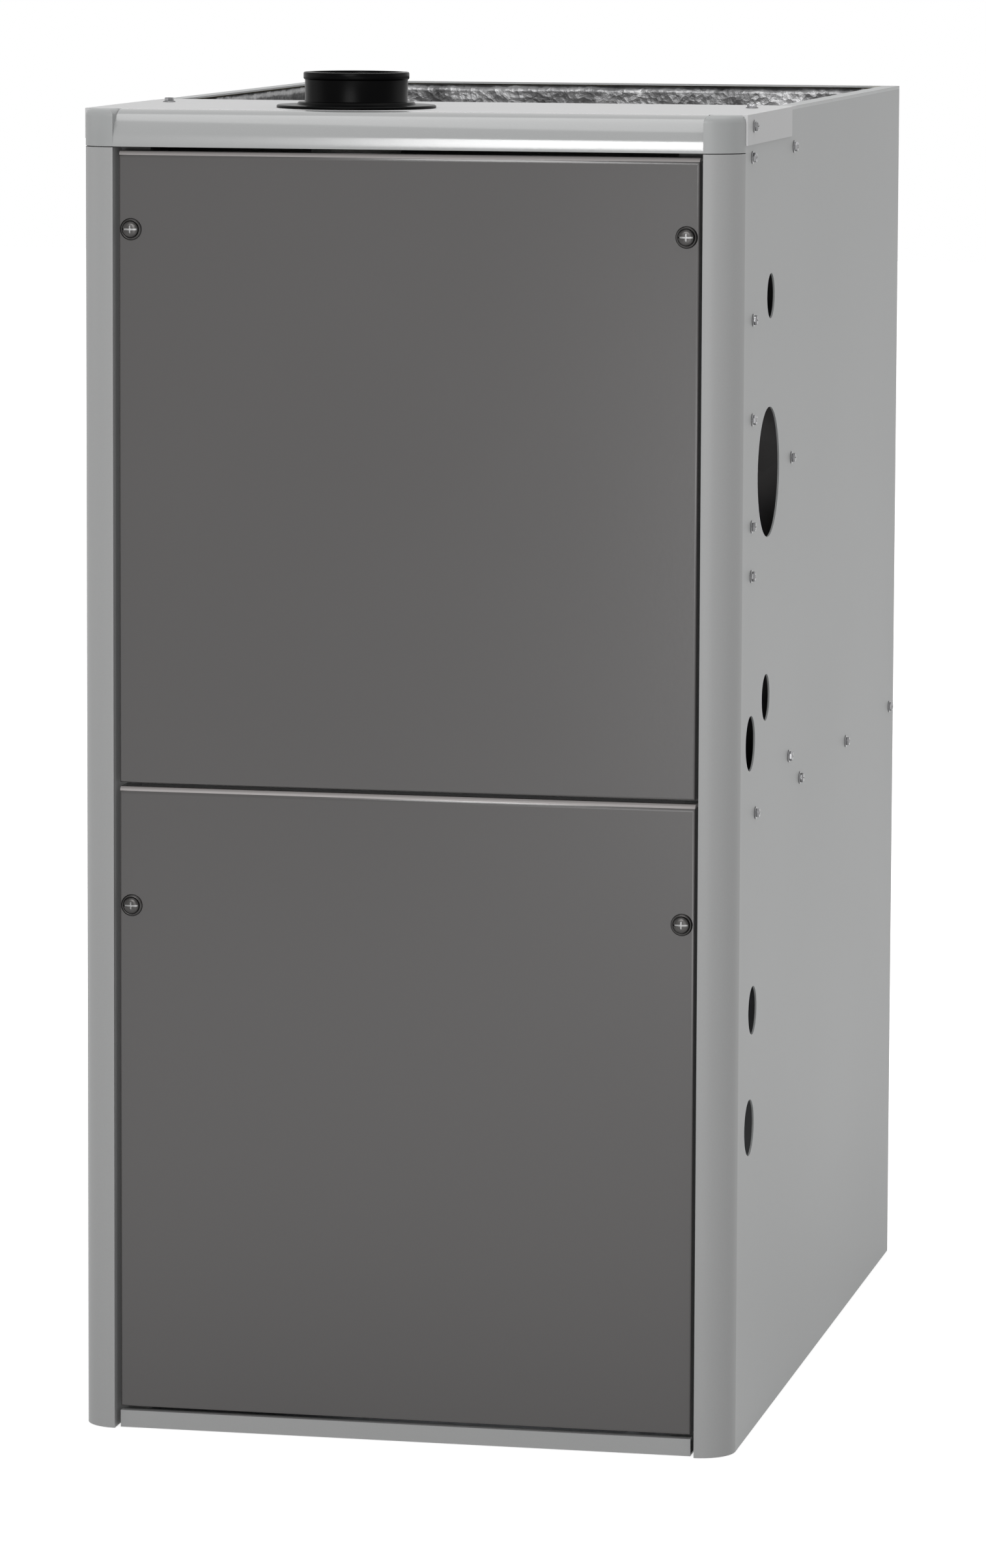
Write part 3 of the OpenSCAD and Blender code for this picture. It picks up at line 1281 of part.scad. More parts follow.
module junction_box() color([0.64, 0.65, 0.66]) difference() {
    y0 = drop_hole_y - 22;
    y1 = drop_hole_y + 48;
    z0 = junction_z;
    z1 = junction_z + junction_h;
    x0 = box_wall_x;
    x1 = x0 + 48;
    union() {
        block([x0, y0, z0], [x1, y1, z1]);
        block([-wall_x + seat_gap, y1 - 12, z0 + 10], [x0 + 1, y1, z1 - 10]);
    }
    block([x0 + 1.2, y0 + 1.2, z0 + 1.2], [x1 - 1.2, y1 - 1.2, z1 - 1.2]);
}

module wire_harness() color([0.1, 0.1, 0.1]) {
    hose(POWER_ROUTE, wire_r, 3);
    hose(MOTOR_ROUTE, wire_r, 3, [0.3, 0.2, -1]);
}

cabinet_wrapper();
left_corner_post();
right_corner_post();
corner_caps();
top_front_rail();
top_panel();
base_rail();
base_pan();
centre_divider();
blower_deck();
partition_panel();
foil_insulation();
vent_collar();
cabinet_screws();
upper_door();
upper_door_fastener_left();
upper_door_fastener_right();
lower_door();
lower_door_fastener_left();
lower_door_fastener_right();
heat_exchanger_tubes();
transition_box();
secondary_coil();
condensate_header();
burner_box();
sight_glass();
burners();
gas_manifold();
gas_valve();
gas_valve_knob();
igniter();
flame_sensor();
rollout_switches();
reset_button_left();
reset_button_right();
limit_switch();
inducer_housing();
inducer_motor();
inducer_wheel();
inducer_shaft();
inducer_cooling_fan();
vent_coupling();
hose_clamps();
vent_bend();
vent_pipe();
pressure_switch();
pressure_tube();
condensate_trap();
drain_hose();
blower_housing();
blower_wheel();
blower_shaft();
blower_motor();
motor_mount();
control_board();
transformer();
door_switch();
door_switch_plunger();
junction_box();
wire_harness();
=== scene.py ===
# %% [markdown]
# # A forced air gas furnace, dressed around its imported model
#
# A furnace cabinet is folded from painted sheet steel: a wrapper that makes both sides
# and the back, two rounded posts, a rounded top rail and two lift-off doors. The packed
# model already holds these shapes at their real size, so this lesson doesn't rebuild
# them. It gives each one its finish, and models in Blender what a solid model leaves
# plain: the crinkled foil, the moulded collar, the screws and the small parts inside.

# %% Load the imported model
import json
import math

import bmesh
import bpy
from mathutils import Matrix, Vector, noise


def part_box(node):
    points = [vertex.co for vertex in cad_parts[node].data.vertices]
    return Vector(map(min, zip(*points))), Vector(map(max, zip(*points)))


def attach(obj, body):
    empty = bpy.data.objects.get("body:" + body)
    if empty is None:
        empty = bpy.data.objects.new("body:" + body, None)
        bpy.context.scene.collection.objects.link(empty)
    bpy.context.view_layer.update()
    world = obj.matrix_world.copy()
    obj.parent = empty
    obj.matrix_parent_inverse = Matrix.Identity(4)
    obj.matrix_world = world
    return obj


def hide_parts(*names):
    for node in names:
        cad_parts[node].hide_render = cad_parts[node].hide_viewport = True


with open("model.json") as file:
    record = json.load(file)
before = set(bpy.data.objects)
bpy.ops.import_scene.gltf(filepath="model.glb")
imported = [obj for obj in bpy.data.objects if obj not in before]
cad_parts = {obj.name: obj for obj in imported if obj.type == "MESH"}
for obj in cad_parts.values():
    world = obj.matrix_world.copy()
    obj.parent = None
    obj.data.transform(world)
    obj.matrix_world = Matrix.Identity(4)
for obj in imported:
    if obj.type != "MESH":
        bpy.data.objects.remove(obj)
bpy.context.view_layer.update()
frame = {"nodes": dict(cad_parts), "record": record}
MM = 0.001
WELD = 1e-6

# %% [markdown]
# ## The camera
#
# The photograph looks down a little from the front right, through a long lens: the
# verticals stay parallel. A far camera with a narrow angle gives the same drawing. The
# lens is shifted instead of tilted, as a product photographer does with a view camera.

# %% Place the camera
CAMERA_AZIMUTH = math.radians(11.8)
CAMERA_ELEVATION = math.radians(6.05)
CAMERA_ROLL = math.radians(0.24)
CAMERA_PLACE = Vector((0.9626, -4.6752, 1.0365))
LENS_MM = 154.6
SENSOR_MM = 36
LENS_SHIFT = (0, -0.117)

back = Vector((
    math.sin(CAMERA_AZIMUTH) * math.cos(CAMERA_ELEVATION),
    -math.cos(CAMERA_AZIMUTH) * math.cos(CAMERA_ELEVATION),
    math.sin(CAMERA_ELEVATION),
))
level = Vector((math.cos(CAMERA_AZIMUTH), math.sin(CAMERA_AZIMUTH), 0))
turn = Matrix.Rotation(CAMERA_ROLL, 3, back)
right = turn @ level
up = turn @ back.cross(level)

camera = bpy.data.objects.new("camera", bpy.data.cameras.new("camera"))
bpy.context.scene.collection.objects.link(camera)
stance = Matrix((right, up, back)).transposed().to_4x4()
camera.matrix_world = Matrix.Translation(CAMERA_PLACE) @ stance
camera.data.lens = LENS_MM
camera.data.sensor_width = SENSOR_MM
camera.data.shift_x, camera.data.shift_y = LENS_SHIFT
bpy.context.scene.camera = camera
print("camera at", tuple(round(value, 3) for value in camera.location))

# %% [markdown]
# ## Light
#
# Soft boxes light painted metal best, because a rounded edge shows the shape of the
# lamp as a clean band. A box in front of the furnace makes the white band on the top
# rail, and a lower one keeps the doors as light below as above. A large one overhead
# keeps the top the brightest face, and a weak one on each side fills the sides.

# %% Hang the soft boxes
scene = bpy.context.scene
scene.view_settings.view_transform = "Standard"
# Each box: its place and target in metres, its width and height, and its power in watts.
SOFT_BOXES = {
    "front_box": ((-0.12, -3.0, 1.8), (0, -0.35, 0.8), 1.05, 1.2, 35),
    "low_box": ((0.5, -3.2, 0.25), (0.1, -0.35, 0.3), 1.5, 0.8, 13.5),
    "top_box": ((0.2, 0.1, 3.4), (0, 0, 0.9), 2.6, 2.6, 27.5),
    "right_box": ((3.2, 1.4, 1.2), (0.2, 0, 0.5), 1.8, 1.8, 6.2),
    "left_box": ((-3.4, -0.6, 1.2), (-0.2, 0, 0.5), 1.8, 1.8, 8),
}


def soft_box(name, place, target, width, height, watts):
    """A rectangular lamp at a place, facing a target."""
    lamp = bpy.data.lights.new(name, "AREA")
    lamp.shape = "RECTANGLE"
    lamp.size = width
    lamp.size_y = height
    lamp.energy = watts
    box = bpy.data.objects.new(name, lamp)
    box.location = place
    box.rotation_euler = (Vector(target) - Vector(place)).to_track_quat("-Z", "Y").to_euler()
    box.visible_camera = False
    scene.collection.objects.link(box)


for name, settings in SOFT_BOXES.items():
    soft_box(name, *settings)

# %% [markdown]
# ## Shader maths as Python
#
# A procedural finish is a sum of small patterns. Wiring those by hand hides the idea,
# so `Wire` wraps one socket and lets Python's own operators add the Math nodes, and
# `Finish.node` adds any other node from its type, its settings and its inputs.

# %% Wrap sockets for Python expressions
class Wire:
    """A shader socket that can stand in a Python expression."""

    def __init__(self, finish, socket):
        self.finish = finish
        self.socket = socket

    def maths(self, operation, first, second):
        return self.finish.node("Math", {"operation": operation}, {0: first, 1: second})

    def __add__(self, other):
        return self.maths("ADD", self, other)

    def __radd__(self, other):
        return self.maths("ADD", other, self)

    def __sub__(self, other):
        return self.maths("SUBTRACT", self, other)

    def __mul__(self, other):
        return self.maths("MULTIPLY", self, other)

    def __gt__(self, other):
        return self.maths("GREATER_THAN", self, other)

    def __lt__(self, other):
        return self.maths("LESS_THAN", self, other)


class Finish:
    """One procedural material around a Principled shader."""

    def __init__(self, name, **constants):
        self.material = bpy.data.materials.new(name)
        self.material.use_nodes = True
        self.tree = self.material.node_tree
        self.shader = self.tree.nodes["Principled BSDF"]
        for socket, value in constants.items():
            self.set(socket.replace("_", " ").title().replace("Ior", "IOR"), value)

    def feed(self, socket, value):
        """Links a wire to a socket, or writes a constant on it."""
        if isinstance(value, Wire):
            self.tree.links.new(value.socket, socket)
        elif hasattr(value, "__len__") and len(value) == 3 and len(socket.default_value) == 4:
            socket.default_value = (*value, 1)
        else:
            socket.default_value = value

    def set(self, socket, value):
        self.feed(self.shader.inputs[socket], value)

    def node(self, kind, settings=None, inputs=None, output=0):
        """Adds a node: settings first, then the values or wires of its sockets."""
        node = self.tree.nodes.new("ShaderNode" + kind)
        for setting, value in (settings or {}).items():
            if setting == "stops":
                set_stops(node.color_ramp, value)
            else:
                setattr(node, setting, value)
        for socket, value in (inputs or {}).items():
            self.feed(node.inputs[socket], value)
        return Wire(self, node.outputs[output])

    def place(self):
        """The point on the furnace, in metres."""
        return self.node("TexCoord", output="Object")

    def stretched(self, x, y, z):
        """The point, with each axis multiplied, so that a pattern on it gets longer or shorter."""
        return self.node("Mapping", {}, {"Vector": self.place(), "Scale": (x, y, z)})

    def noise(self, size, detail=2, roughness=0.5, vector=None):
        """Soft noise from 0 to 1 whose spots are about one size across, in metres."""
        return self.node("TexNoise", {}, {
            "Vector": vector or self.place(), "Scale": 1 / size,
            "Detail": detail, "Roughness": roughness,
        }, "Fac")

    def grains(self, size, output="Color"):
        """Voronoi cells about one size across."""
        return self.node("TexVoronoi", {}, {"Vector": self.place(), "Scale": 1 / size}, output)

    def ramp(self, value, stops):
        """A colour or grey for each value, from a list of positions and tones."""
        return self.node("ValToRGB", {"stops": stops}, {"Fac": value}, "Color")

    def relief(self, height, depth):
        """Bumps of a depth in metres, feeding the Normal socket."""
        inputs = {"Height": height, "Distance": depth, "Strength": 1.0}
        self.set("Normal", self.node("Bump", {}, inputs, "Normal"))


def set_stops(ramp, stops):
    """Writes a colour ramp from pairs of position and grey or colour."""
    while len(ramp.elements) < len(stops):
        ramp.elements.new(1)
    for element, (position, tone) in zip(ramp.elements, stops):
        element.position = position
        element.color = (*tone, 1) if hasattr(tone, "__len__") else (tone, tone, tone, 1)


def shade(colour, factor):
    """A colour made lighter or darker."""
    return tuple(channel * factor for channel in colour)


print("shader helpers ready")

# %% [markdown]
# ## Floor and background
#
# The photograph stands on pure white. The lamps stay at a plain level, and the white
# comes from the world's and the floor's own colour. What the camera, a reflection or a
# pane of glass sees of the world is white, while the light that reaches the furnace
# from it stays mild. The floor is a real surface that takes a soft shadow, and the same
# rays get a glow from it that grows with the distance from the furnace, so that it
# runs into the background with no horizon.

# %% Lay the floor and set the world
WORLD_LIGHT = 0.42
FLOOR_TONE = (0.5, 0.5, 0.5)
FLOOR_GLOW_NEAR = 0.76
FLOOR_GLOW_FAR = 1.0
GLOW_START = 0.35
GLOW_END = 1.3
FLOOR_HALF = 14
FLOOR_DROP = 0.5 * MM


def seen_rays(tree):
    """A mask that is 1 for what the camera, a reflection or a pane of glass sees."""
    rays = tree.nodes.new("ShaderNodeLightPath")
    mask = rays.outputs["Is Camera Ray"]
    for kind in ("Is Glossy Ray", "Is Transmission Ray"):
        either = tree.nodes.new("ShaderNodeMath")
        either.operation = "MAXIMUM"
        tree.links.new(mask, either.inputs[0])
        tree.links.new(rays.outputs[kind], either.inputs[1])
        mask = either.outputs[0]
    return mask


world = bpy.data.worlds.new("studio")
scene.world = world
world.use_nodes = True
sky = world.node_tree
strength = sky.nodes.new("ShaderNodeMapRange")
strength.inputs["To Min"].default_value = WORLD_LIGHT
strength.inputs["To Max"].default_value = 1.0
sky.links.new(seen_rays(sky), strength.inputs["Value"])
sky.links.new(strength.outputs["Result"], sky.nodes["Background"].inputs["Strength"])
sky.nodes["Background"].inputs["Color"].default_value = (1, 1, 1, 1)

floor_mesh = bmesh.new()
bmesh.ops.create_grid(floor_mesh, x_segments=1, y_segments=1, size=FLOOR_HALF)
floor_data = bpy.data.meshes.new("floor")
floor_mesh.to_mesh(floor_data)
floor_mesh.free()
floor = bpy.data.objects.new("floor", floor_data)
floor.location.z = -FLOOR_DROP
scene.collection.objects.link(floor)

floor_finish = Finish("floor_white", roughness=1.0, specular_ior_level=0.0)
floor_finish.set("Base Color", FLOOR_TONE)
distance = floor_finish.node(
    "VectorMath", {"operation": "LENGTH"}, {0: floor_finish.place()}, "Value",
)
glow = floor_finish.node("MapRange", {"interpolation_type": "SMOOTHSTEP"}, {
    "Value": distance, "From Min": GLOW_START, "From Max": GLOW_END,
    "To Min": FLOOR_GLOW_NEAR, "To Max": FLOOR_GLOW_FAR,
})
floor_finish.set("Emission Color", (1, 1, 1))
floor_finish.set("Emission Strength", glow * Wire(floor_finish, seen_rays(floor_finish.tree)))
floor.data.materials.append(floor_finish.material)
print("floor and world set")

# %% [markdown]
# ## Painted sheet steel
#
# Powder coat is a plastic skin baked on steel. It has a fine orange peel of about two
# millimetres and a slight drift in tone over a whole panel. Both are so weak that they
# only show where light grazes the sheet, yet without them a large flat face looks
# like card. One function makes every coated colour. A band along a fold can be painted
# lighter, a painted highlight for the light that the bent edge catches. A fold is an
# axis, the two places on it in metres between which its band lies, and a factor.

# %% Mix the coated finishes
DRIFT_SIZE = 0.35
PEEL_SIZE = 2.2 * MM
GRAIN_SIZE = 1.1 * MM
GRAIN_SHARE = 0.05


def powder_coat(name, colour, roughness, gloss=0.5, peel=0.00004, drift=0.03, folds=()):
    """Baked coating on sheet steel, with a fine orange peel and painted highlights along folds."""
    coat = Finish(name, specular_ior_level=gloss)
    broad = coat.noise(DRIFT_SIZE, detail=3)
    grain = coat.noise(GRAIN_SIZE, detail=1)
    tone = 1 - drift / 2 + broad * drift + (grain - 0.5) * GRAIN_SHARE
    colours = coat.ramp(tone * 0.5, [(0, 0.0), (1, 1.0)])
    paint = coat.node("VectorMath", {"operation": "MULTIPLY"}, {0: colours, 1: shade(colour, 2)})
    # Each fold band scales the paint lighter: a painted highlight along the bend.
    for axis, start, end, factor in folds:
        along = coat.node("SeparateXYZ", {}, {0: coat.place()}, "XYZ"[axis])
        lift = 1 + (along > start) * (along < end) * (factor - 1)
        paint = coat.node("VectorMath", {"operation": "SCALE"}, {0: paint, "Scale": lift})
    coat.set("Base Color", paint)
    coat.set("Roughness", roughness - 0.04 + broad * 0.08)
    coat.relief(coat.noise(PEEL_SIZE, detail=2), peel)
    return coat.material


upper_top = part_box("upper_door")[1].z
lower_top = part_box("lower_door")[1].z
wrapper_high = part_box("cabinet_wrapper")[1]
Y_AXIS, Z_AXIS = 1, 2
# Factors for the painted highlight bands: under each door's rolled top edge, along the wrapper's
# top edge and along its rear bend.
ROLL_HIGHLIGHT = 6.5
TOP_EDGE_HIGHLIGHT = 1.3
REAR_EDGE_HIGHLIGHT = 1.25
# A band just under each door's rolled top edge is painted lighter: a painted highlight where the
# roll catches the front lamp.
DOOR_ROLL_HIGHLIGHTS = [
    (Z_AXIS, top - 2.8 * MM, top - 0.2 * MM, ROLL_HIGHLIGHT) for top in (upper_top, lower_top)
]
# Bands along the wrapper's top edge and rear bend are painted lighter: painted highlights where
# these bends catch the top and side lamps.
WRAPPER_EDGE_HIGHLIGHTS = [
    (Z_AXIS, wrapper_high.z - 2.2 * MM, wrapper_high.z - 0.3 * MM, TOP_EDGE_HIGHLIGHT),
    (Y_AXIS, wrapper_high.y - 3.2 * MM, wrapper_high.y - 0.9 * MM, REAR_EDGE_HIGHLIGHT),
]
cabinet_paint = powder_coat("cabinet_paint", (0.4, 0.407, 0.407), 0.48, folds=WRAPPER_EDGE_HIGHLIGHTS)
post_paint = powder_coat("post_paint", (0.322, 0.324, 0.324), 0.42)
rail_paint = powder_coat("rail_paint", (0.322, 0.327, 0.327), 0.14, gloss=1.0, peel=0.00001)
top_paint = powder_coat("top_paint", (0.535, 0.535, 0.538), 0.46)
door_paint = powder_coat(
    "door_paint", (0.061, 0.0575, 0.0567), 0.22,
    gloss=0.6, peel=0.00002, drift=0.04, folds=DOOR_ROLL_HIGHLIGHTS,
)
# The centre divider is painted light grey so that the gap between the doors, which lies in shade,
# reads lighter: painted light.
divider_paint = powder_coat("divider_paint", (0.42, 0.42, 0.42), 0.4)
print("materials with the coated finishes:", len(bpy.data.materials))

# %% [markdown]
# ## Zinc, aluminium and bright steel
#
# Galvanised sheet shows spangles: crystals of zinc about a centimetre across, each
# with its own brightness. Voronoi cells are the natural pattern for them. Aluminised
# tube is duller and mottled, and ground shafts have fine lines round them.

# %% Mix the bare metals
SPANGLE_SIZE = 12 * MM
ZINC_ROUGHNESS = 0.46


def zinc_sheet(name, colour):
    """Galvanised steel with faint crystals."""
    zinc = Finish(name, metallic=1.0)
    crystals = zinc.node("SeparateColor", {}, {"Color": zinc.grains(SPANGLE_SIZE)}, "Red")
    cloud = zinc.noise(0.05, detail=3)
    zinc.set("Base Color", zinc.ramp(
        crystals * 0.5 + cloud * 0.5, [(0.1, shade(colour, 0.82)), (0.9, shade(colour, 1.1))],
    ))
    zinc.set("Roughness", ZINC_ROUGHNESS - 0.08 + crystals * 0.16)
    zinc.relief(zinc.noise(0.004, detail=3), 0.00003)
    return zinc.material


def dull_metal(name, colour, roughness, mottle=0.03, depth=0.00003):
    """Aluminised or cast metal with a mottled skin."""
    metal = Finish(name, metallic=1.0)
    cloud = metal.noise(mottle, detail=4, roughness=0.6)
    speck = metal.noise(0.0012, detail=2)
    metal.set("Base Color", metal.ramp(
        cloud, [(0.25, shade(colour, 0.78)), (0.75, shade(colour, 1.08))],
    ))
    metal.set("Roughness", roughness - 0.07 + cloud * 0.14)
    metal.relief(speck, depth)
    return metal.material


def ground_steel(name, colour, roughness, axis="x"):
    """Turned or ground steel with fine lines round one axis."""
    steel = Finish(name, metallic=1.0)
    stretch = {"x": (1, 0.02, 0.02), "y": (0.02, 1, 0.02)}[axis]
    lines = steel.noise(0.0006, detail=2, vector=steel.stretched(*stretch))
    steel.set("Base Color", steel.ramp(lines, [(0.2, shade(colour, 0.85)), (0.8, colour)]))
    steel.set("Roughness", roughness - 0.05 + lines * 0.1)
    steel.relief(lines, 0.00001)
    return steel.material


galvanised = zinc_sheet("galvanised_sheet", (0.38, 0.385, 0.4))
barrier_steel = zinc_sheet("barrier_steel", (0.2, 0.194, 0.194))
aluminised = dull_metal("aluminised_steel", (0.34, 0.333, 0.315), 0.5)
fin_aluminium = dull_metal("coil_aluminium", (0.5, 0.505, 0.52), 0.38, mottle=0.01)
valve_casting = dull_metal("valve_casting", (0.36, 0.365, 0.37), 0.5, depth=0.0001)
bright_steel = ground_steel("bright_steel", (0.45, 0.45, 0.45), 0.3)
bright_steel_y = ground_steel("bright_steel_y", (0.45, 0.45, 0.45), 0.3, "y")
screw_zinc = dull_metal("screw_zinc", (0.21, 0.21, 0.215), 0.2, mottle=0.004)
fastener_metal = dull_metal("fastener_metal", (0.062, 0.06, 0.059), 0.34, mottle=0.004)
# The fasteners' recess floors get a lighter metal than the heads: a painted highlight for the light
# the cross recess catches.
recess_highlight_metal = dull_metal("recess_highlight_metal", (0.3, 0.3, 0.3), 0.4, mottle=0.004)
print("materials with the bare metals:", len(bpy.data.materials))

# %% [markdown]
# ## Plastic, rubber and the small finishes
#
# Moulded plastic has a fine spark-eroded grain, rubber has a coarser one and no shine,
# and enamel on a motor is glossier and thicker. One short function covers them all.

# %% Mix the plastics
def moulded(name, colour, roughness, grain=0.0009, depth=0.00003, gloss=0.5):
    """Injection moulded plastic with a fine eroded grain."""
    plastic = Finish(name, specular_ior_level=gloss)
    texture = plastic.noise(grain, detail=2)
    cloud = plastic.noise(0.06, detail=2)
    plastic.set("Base Color", plastic.ramp(
        cloud, [(0.2, shade(colour, 0.9)), (0.8, shade(colour, 1.08))],
    ))
    plastic.set("Roughness", roughness - 0.05 + texture * 0.1)
    plastic.relief(texture, depth)
    return plastic.material


cap_plastic = moulded("cap_plastic", (0.33, 0.337, 0.337), 0.42)
collar_plastic = moulded("collar_plastic", (0.0008, 0.0008, 0.0009), 0.3, depth=0.00001, gloss=0.04)
black_plastic = moulded("black_plastic", (0.01, 0.01, 0.0105), 0.42, gloss=0.3)
white_plastic = moulded("white_plastic", (0.74, 0.74, 0.71), 0.34)
red_plastic = moulded("red_plastic", (0.5, 0.02, 0.015), 0.28)
orange_plastic = moulded("orange_plastic", (0.7, 0.15, 0.02), 0.3)
ceramic_white = moulded("ceramic_white", (0.72, 0.7, 0.64), 0.22)
black_rubber = moulded(
    "black_rubber", (0.012, 0.012, 0.012), 0.7, grain=0.0015, depth=0.00006, gloss=0.3,
)
motor_paint = moulded(
    "motor_paint", (0.012, 0.012, 0.013), 0.3, grain=0.003, depth=0.00005, gloss=0.4,
)
gas_pipe_paint = moulded(
    "gas_pipe_paint", (0.014, 0.014, 0.015), 0.45, grain=0.002, depth=0.00008, gloss=0.35,
)
board_green = moulded("board_green", (0.015, 0.09, 0.035), 0.35)
capacitor_blue = moulded("capacitor_blue", (0.012, 0.02, 0.075), 0.25)
sight_pane = Finish("sight_glass", transmission_weight=1.0, roughness=0.03)
sight_pane.set("Base Color", (0.85, 0.9, 0.92))
sight_pane.relief(sight_pane.noise(0.01), 0.00001)
print("materials with the plastics:", len(bpy.data.materials))

# %% [markdown]
# ## Aluminium foil
#
# Foil is a mirror that has been crushed. The large creases are in the mesh, and a bump
# of small facets between them breaks the reflections into flecks. Behind it lies yellow
# glass wool, whose strands are longer up the wall than along it.

# %% Mix the foil and the wool
FOIL_TONES = [(0.3, (0.1, 0.1, 0.102)), (0.7, (0.26, 0.26, 0.263))]
WOOL_TONES = [(0.25, (0.42, 0.33, 0.11)), (0.75, (0.78, 0.66, 0.3))]
foil = Finish("foil_blanket", metallic=0.75)
facets = foil.grains(0.005, "Distance")
wrinkles = foil.noise(0.0026, detail=3, roughness=0.65)
foil.set("Base Color", foil.ramp(foil.noise(0.02, detail=3), FOIL_TONES))
foil.set("Roughness", 0.2 + wrinkles * 0.24)
foil.relief(facets * 0.6 + wrinkles * 0.4, 0.0006)

wool_fibre = Finish("glass_wool", roughness=0.95, specular_ior_level=0.2)
up_the_wall = wool_fibre.stretched(1, 1, 0.3)
strands = wool_fibre.noise(0.0012, detail=4, roughness=0.7, vector=up_the_wall)
wool_fibre.set("Base Color", wool_fibre.ramp(strands, WOOL_TONES))
wool_fibre.relief(strands, 0.0008)
print("foil and wool mixed")

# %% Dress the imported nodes
WORN_BY = [
    (cabinet_paint, ["cabinet_wrapper"]),
    (post_paint, ["left_corner_post", "right_corner_post", "base_rail"]),
    (cap_plastic, ["corner_caps"]),
    (rail_paint, ["top_front_rail"]),
    (top_paint, ["top_panel"]),
    (galvanised, [
        "base_pan", "blower_deck", "foil_insulation", "burner_box", "inducer_wheel",
        "blower_housing", "blower_wheel", "motor_mount", "junction_box",
    ]),
    (divider_paint, ["centre_divider"]),
    (barrier_steel, ["partition_panel"]),
    (collar_plastic, ["vent_collar"]),
    (screw_zinc, ["cabinet_screws"]),
    (door_paint, ["upper_door", "lower_door"]),
    (fastener_metal, [
        "upper_door_fastener_left", "upper_door_fastener_right", "lower_door_fastener_left",
        "lower_door_fastener_right",
    ]),
    (aluminised, ["heat_exchanger_tubes", "transition_box", "burners"]),
    (fin_aluminium, ["secondary_coil"]),
    (black_plastic, [
        "condensate_header", "rollout_switches", "limit_switch", "inducer_housing",
        "pressure_switch", "condensate_trap",
    ]),
    (sight_pane.material, ["sight_glass"]),
    (gas_pipe_paint, ["gas_manifold"]),
    (valve_casting, ["gas_valve"]),
    (red_plastic, ["gas_valve_knob", "reset_button_left", "reset_button_right"]),
    (ceramic_white, ["igniter", "flame_sensor"]),
    (motor_paint, ["inducer_motor", "blower_motor", "transformer"]),
    (bright_steel_y, ["inducer_shaft"]),
    (white_plastic, ["inducer_cooling_fan", "vent_bend", "vent_pipe", "door_switch"]),
    (black_rubber, ["vent_coupling", "pressure_tube", "drain_hose", "wire_harness"]),
    (bright_steel, ["hose_clamps", "blower_shaft"]),
    (board_green, ["control_board"]),
    (orange_plastic, ["door_switch_plunger"]),
]
DRESS = {name: material for material, names in WORN_BY for name in names}
for name, material in DRESS.items():
    node = frame["nodes"][name]
    node.data.materials.clear()
    node.data.materials.append(material)
print("dressed nodes:", len(DRESS), "undressed:", sorted(set(frame["nodes"]) - set(DRESS)))

# %% [markdown]
# ## From a bmesh to a piece
#
# Each new piece is built in a bmesh, which is Blender's editable mesh in memory, and
# then becomes an object that rides on one body of the model. Its place is in its
# vertices, so the object itself stays at the origin. Edges sharper than an angle stay
# crisp, and all others are shaded smooth.

# %% Helpers that make pieces
def piece(name, mesh, material, body="root", instead=(), angle=32):
    """Makes an object from a bmesh, dresses it and lets it ride on a body."""
    data = bpy.data.meshes.new(name)
    mesh.to_mesh(data)
    mesh.free()
    data.polygons.foreach_set("use_smooth", [True] * len(data.polygons))
    data.set_sharp_from_angle(angle=math.radians(angle))
    data.materials.append(material)
    made = bpy.data.objects.new(name, data)
    scene.collection.objects.link(made)
    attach(made, body)
    if instead:
        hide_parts(*instead)
    return made


def turned(profile, steps):
    """A solid spun about Z from a profile of (radius, height) in millimetres."""
    mesh = bmesh.new()
    points = [mesh.verts.new((radius * MM, 0, height * MM)) for radius, height in profile]
    edges = [mesh.edges.new(pair) for pair in zip(points, points[1:])]
    if profile[0][0] > 0:
        edges.append(mesh.edges.new((points[-1], points[0])))
    bmesh.ops.spin(
        mesh, geom=points + edges, cent=(0, 0, 0), axis=(0, 0, 1),
        angle=math.tau, steps=steps, use_merge=True,
    )
    bmesh.ops.remove_doubles(mesh, verts=mesh.verts, dist=WELD)
    bmesh.ops.recalc_face_normals(mesh, faces=mesh.faces)
    return mesh


def moved(mesh, matrix):
    """The same bmesh, carried by a matrix."""
    bmesh.ops.transform(mesh, matrix=matrix, verts=mesh.verts)
    return mesh


def joined(meshes):
    """One bmesh that holds all of several, which are freed."""
    whole = bmesh.new()
    for mesh in meshes:
        part = bpy.data.meshes.new("part")
        mesh.to_mesh(part)
        mesh.free()
        whole.from_mesh(part)
        bpy.data.meshes.remove(part)
    return whole


def pointing(direction):
    """A turn that takes +Z to a direction."""
    return Vector(direction).to_track_quat("Z", "Y").to_matrix().to_4x4()


print("piece helpers ready")

# %% [markdown]
# ## The vent collar
#
# A moulded collar takes the plastic vent pipe through the top panel. It is round, so
# its section is drawn once and spun: a thin flange, a fillet where the neck starts and
# a lip with rounded edges. The rounding is what draws the fine lines of light on it.
# Every section here is a list of radius and height in millimetres.

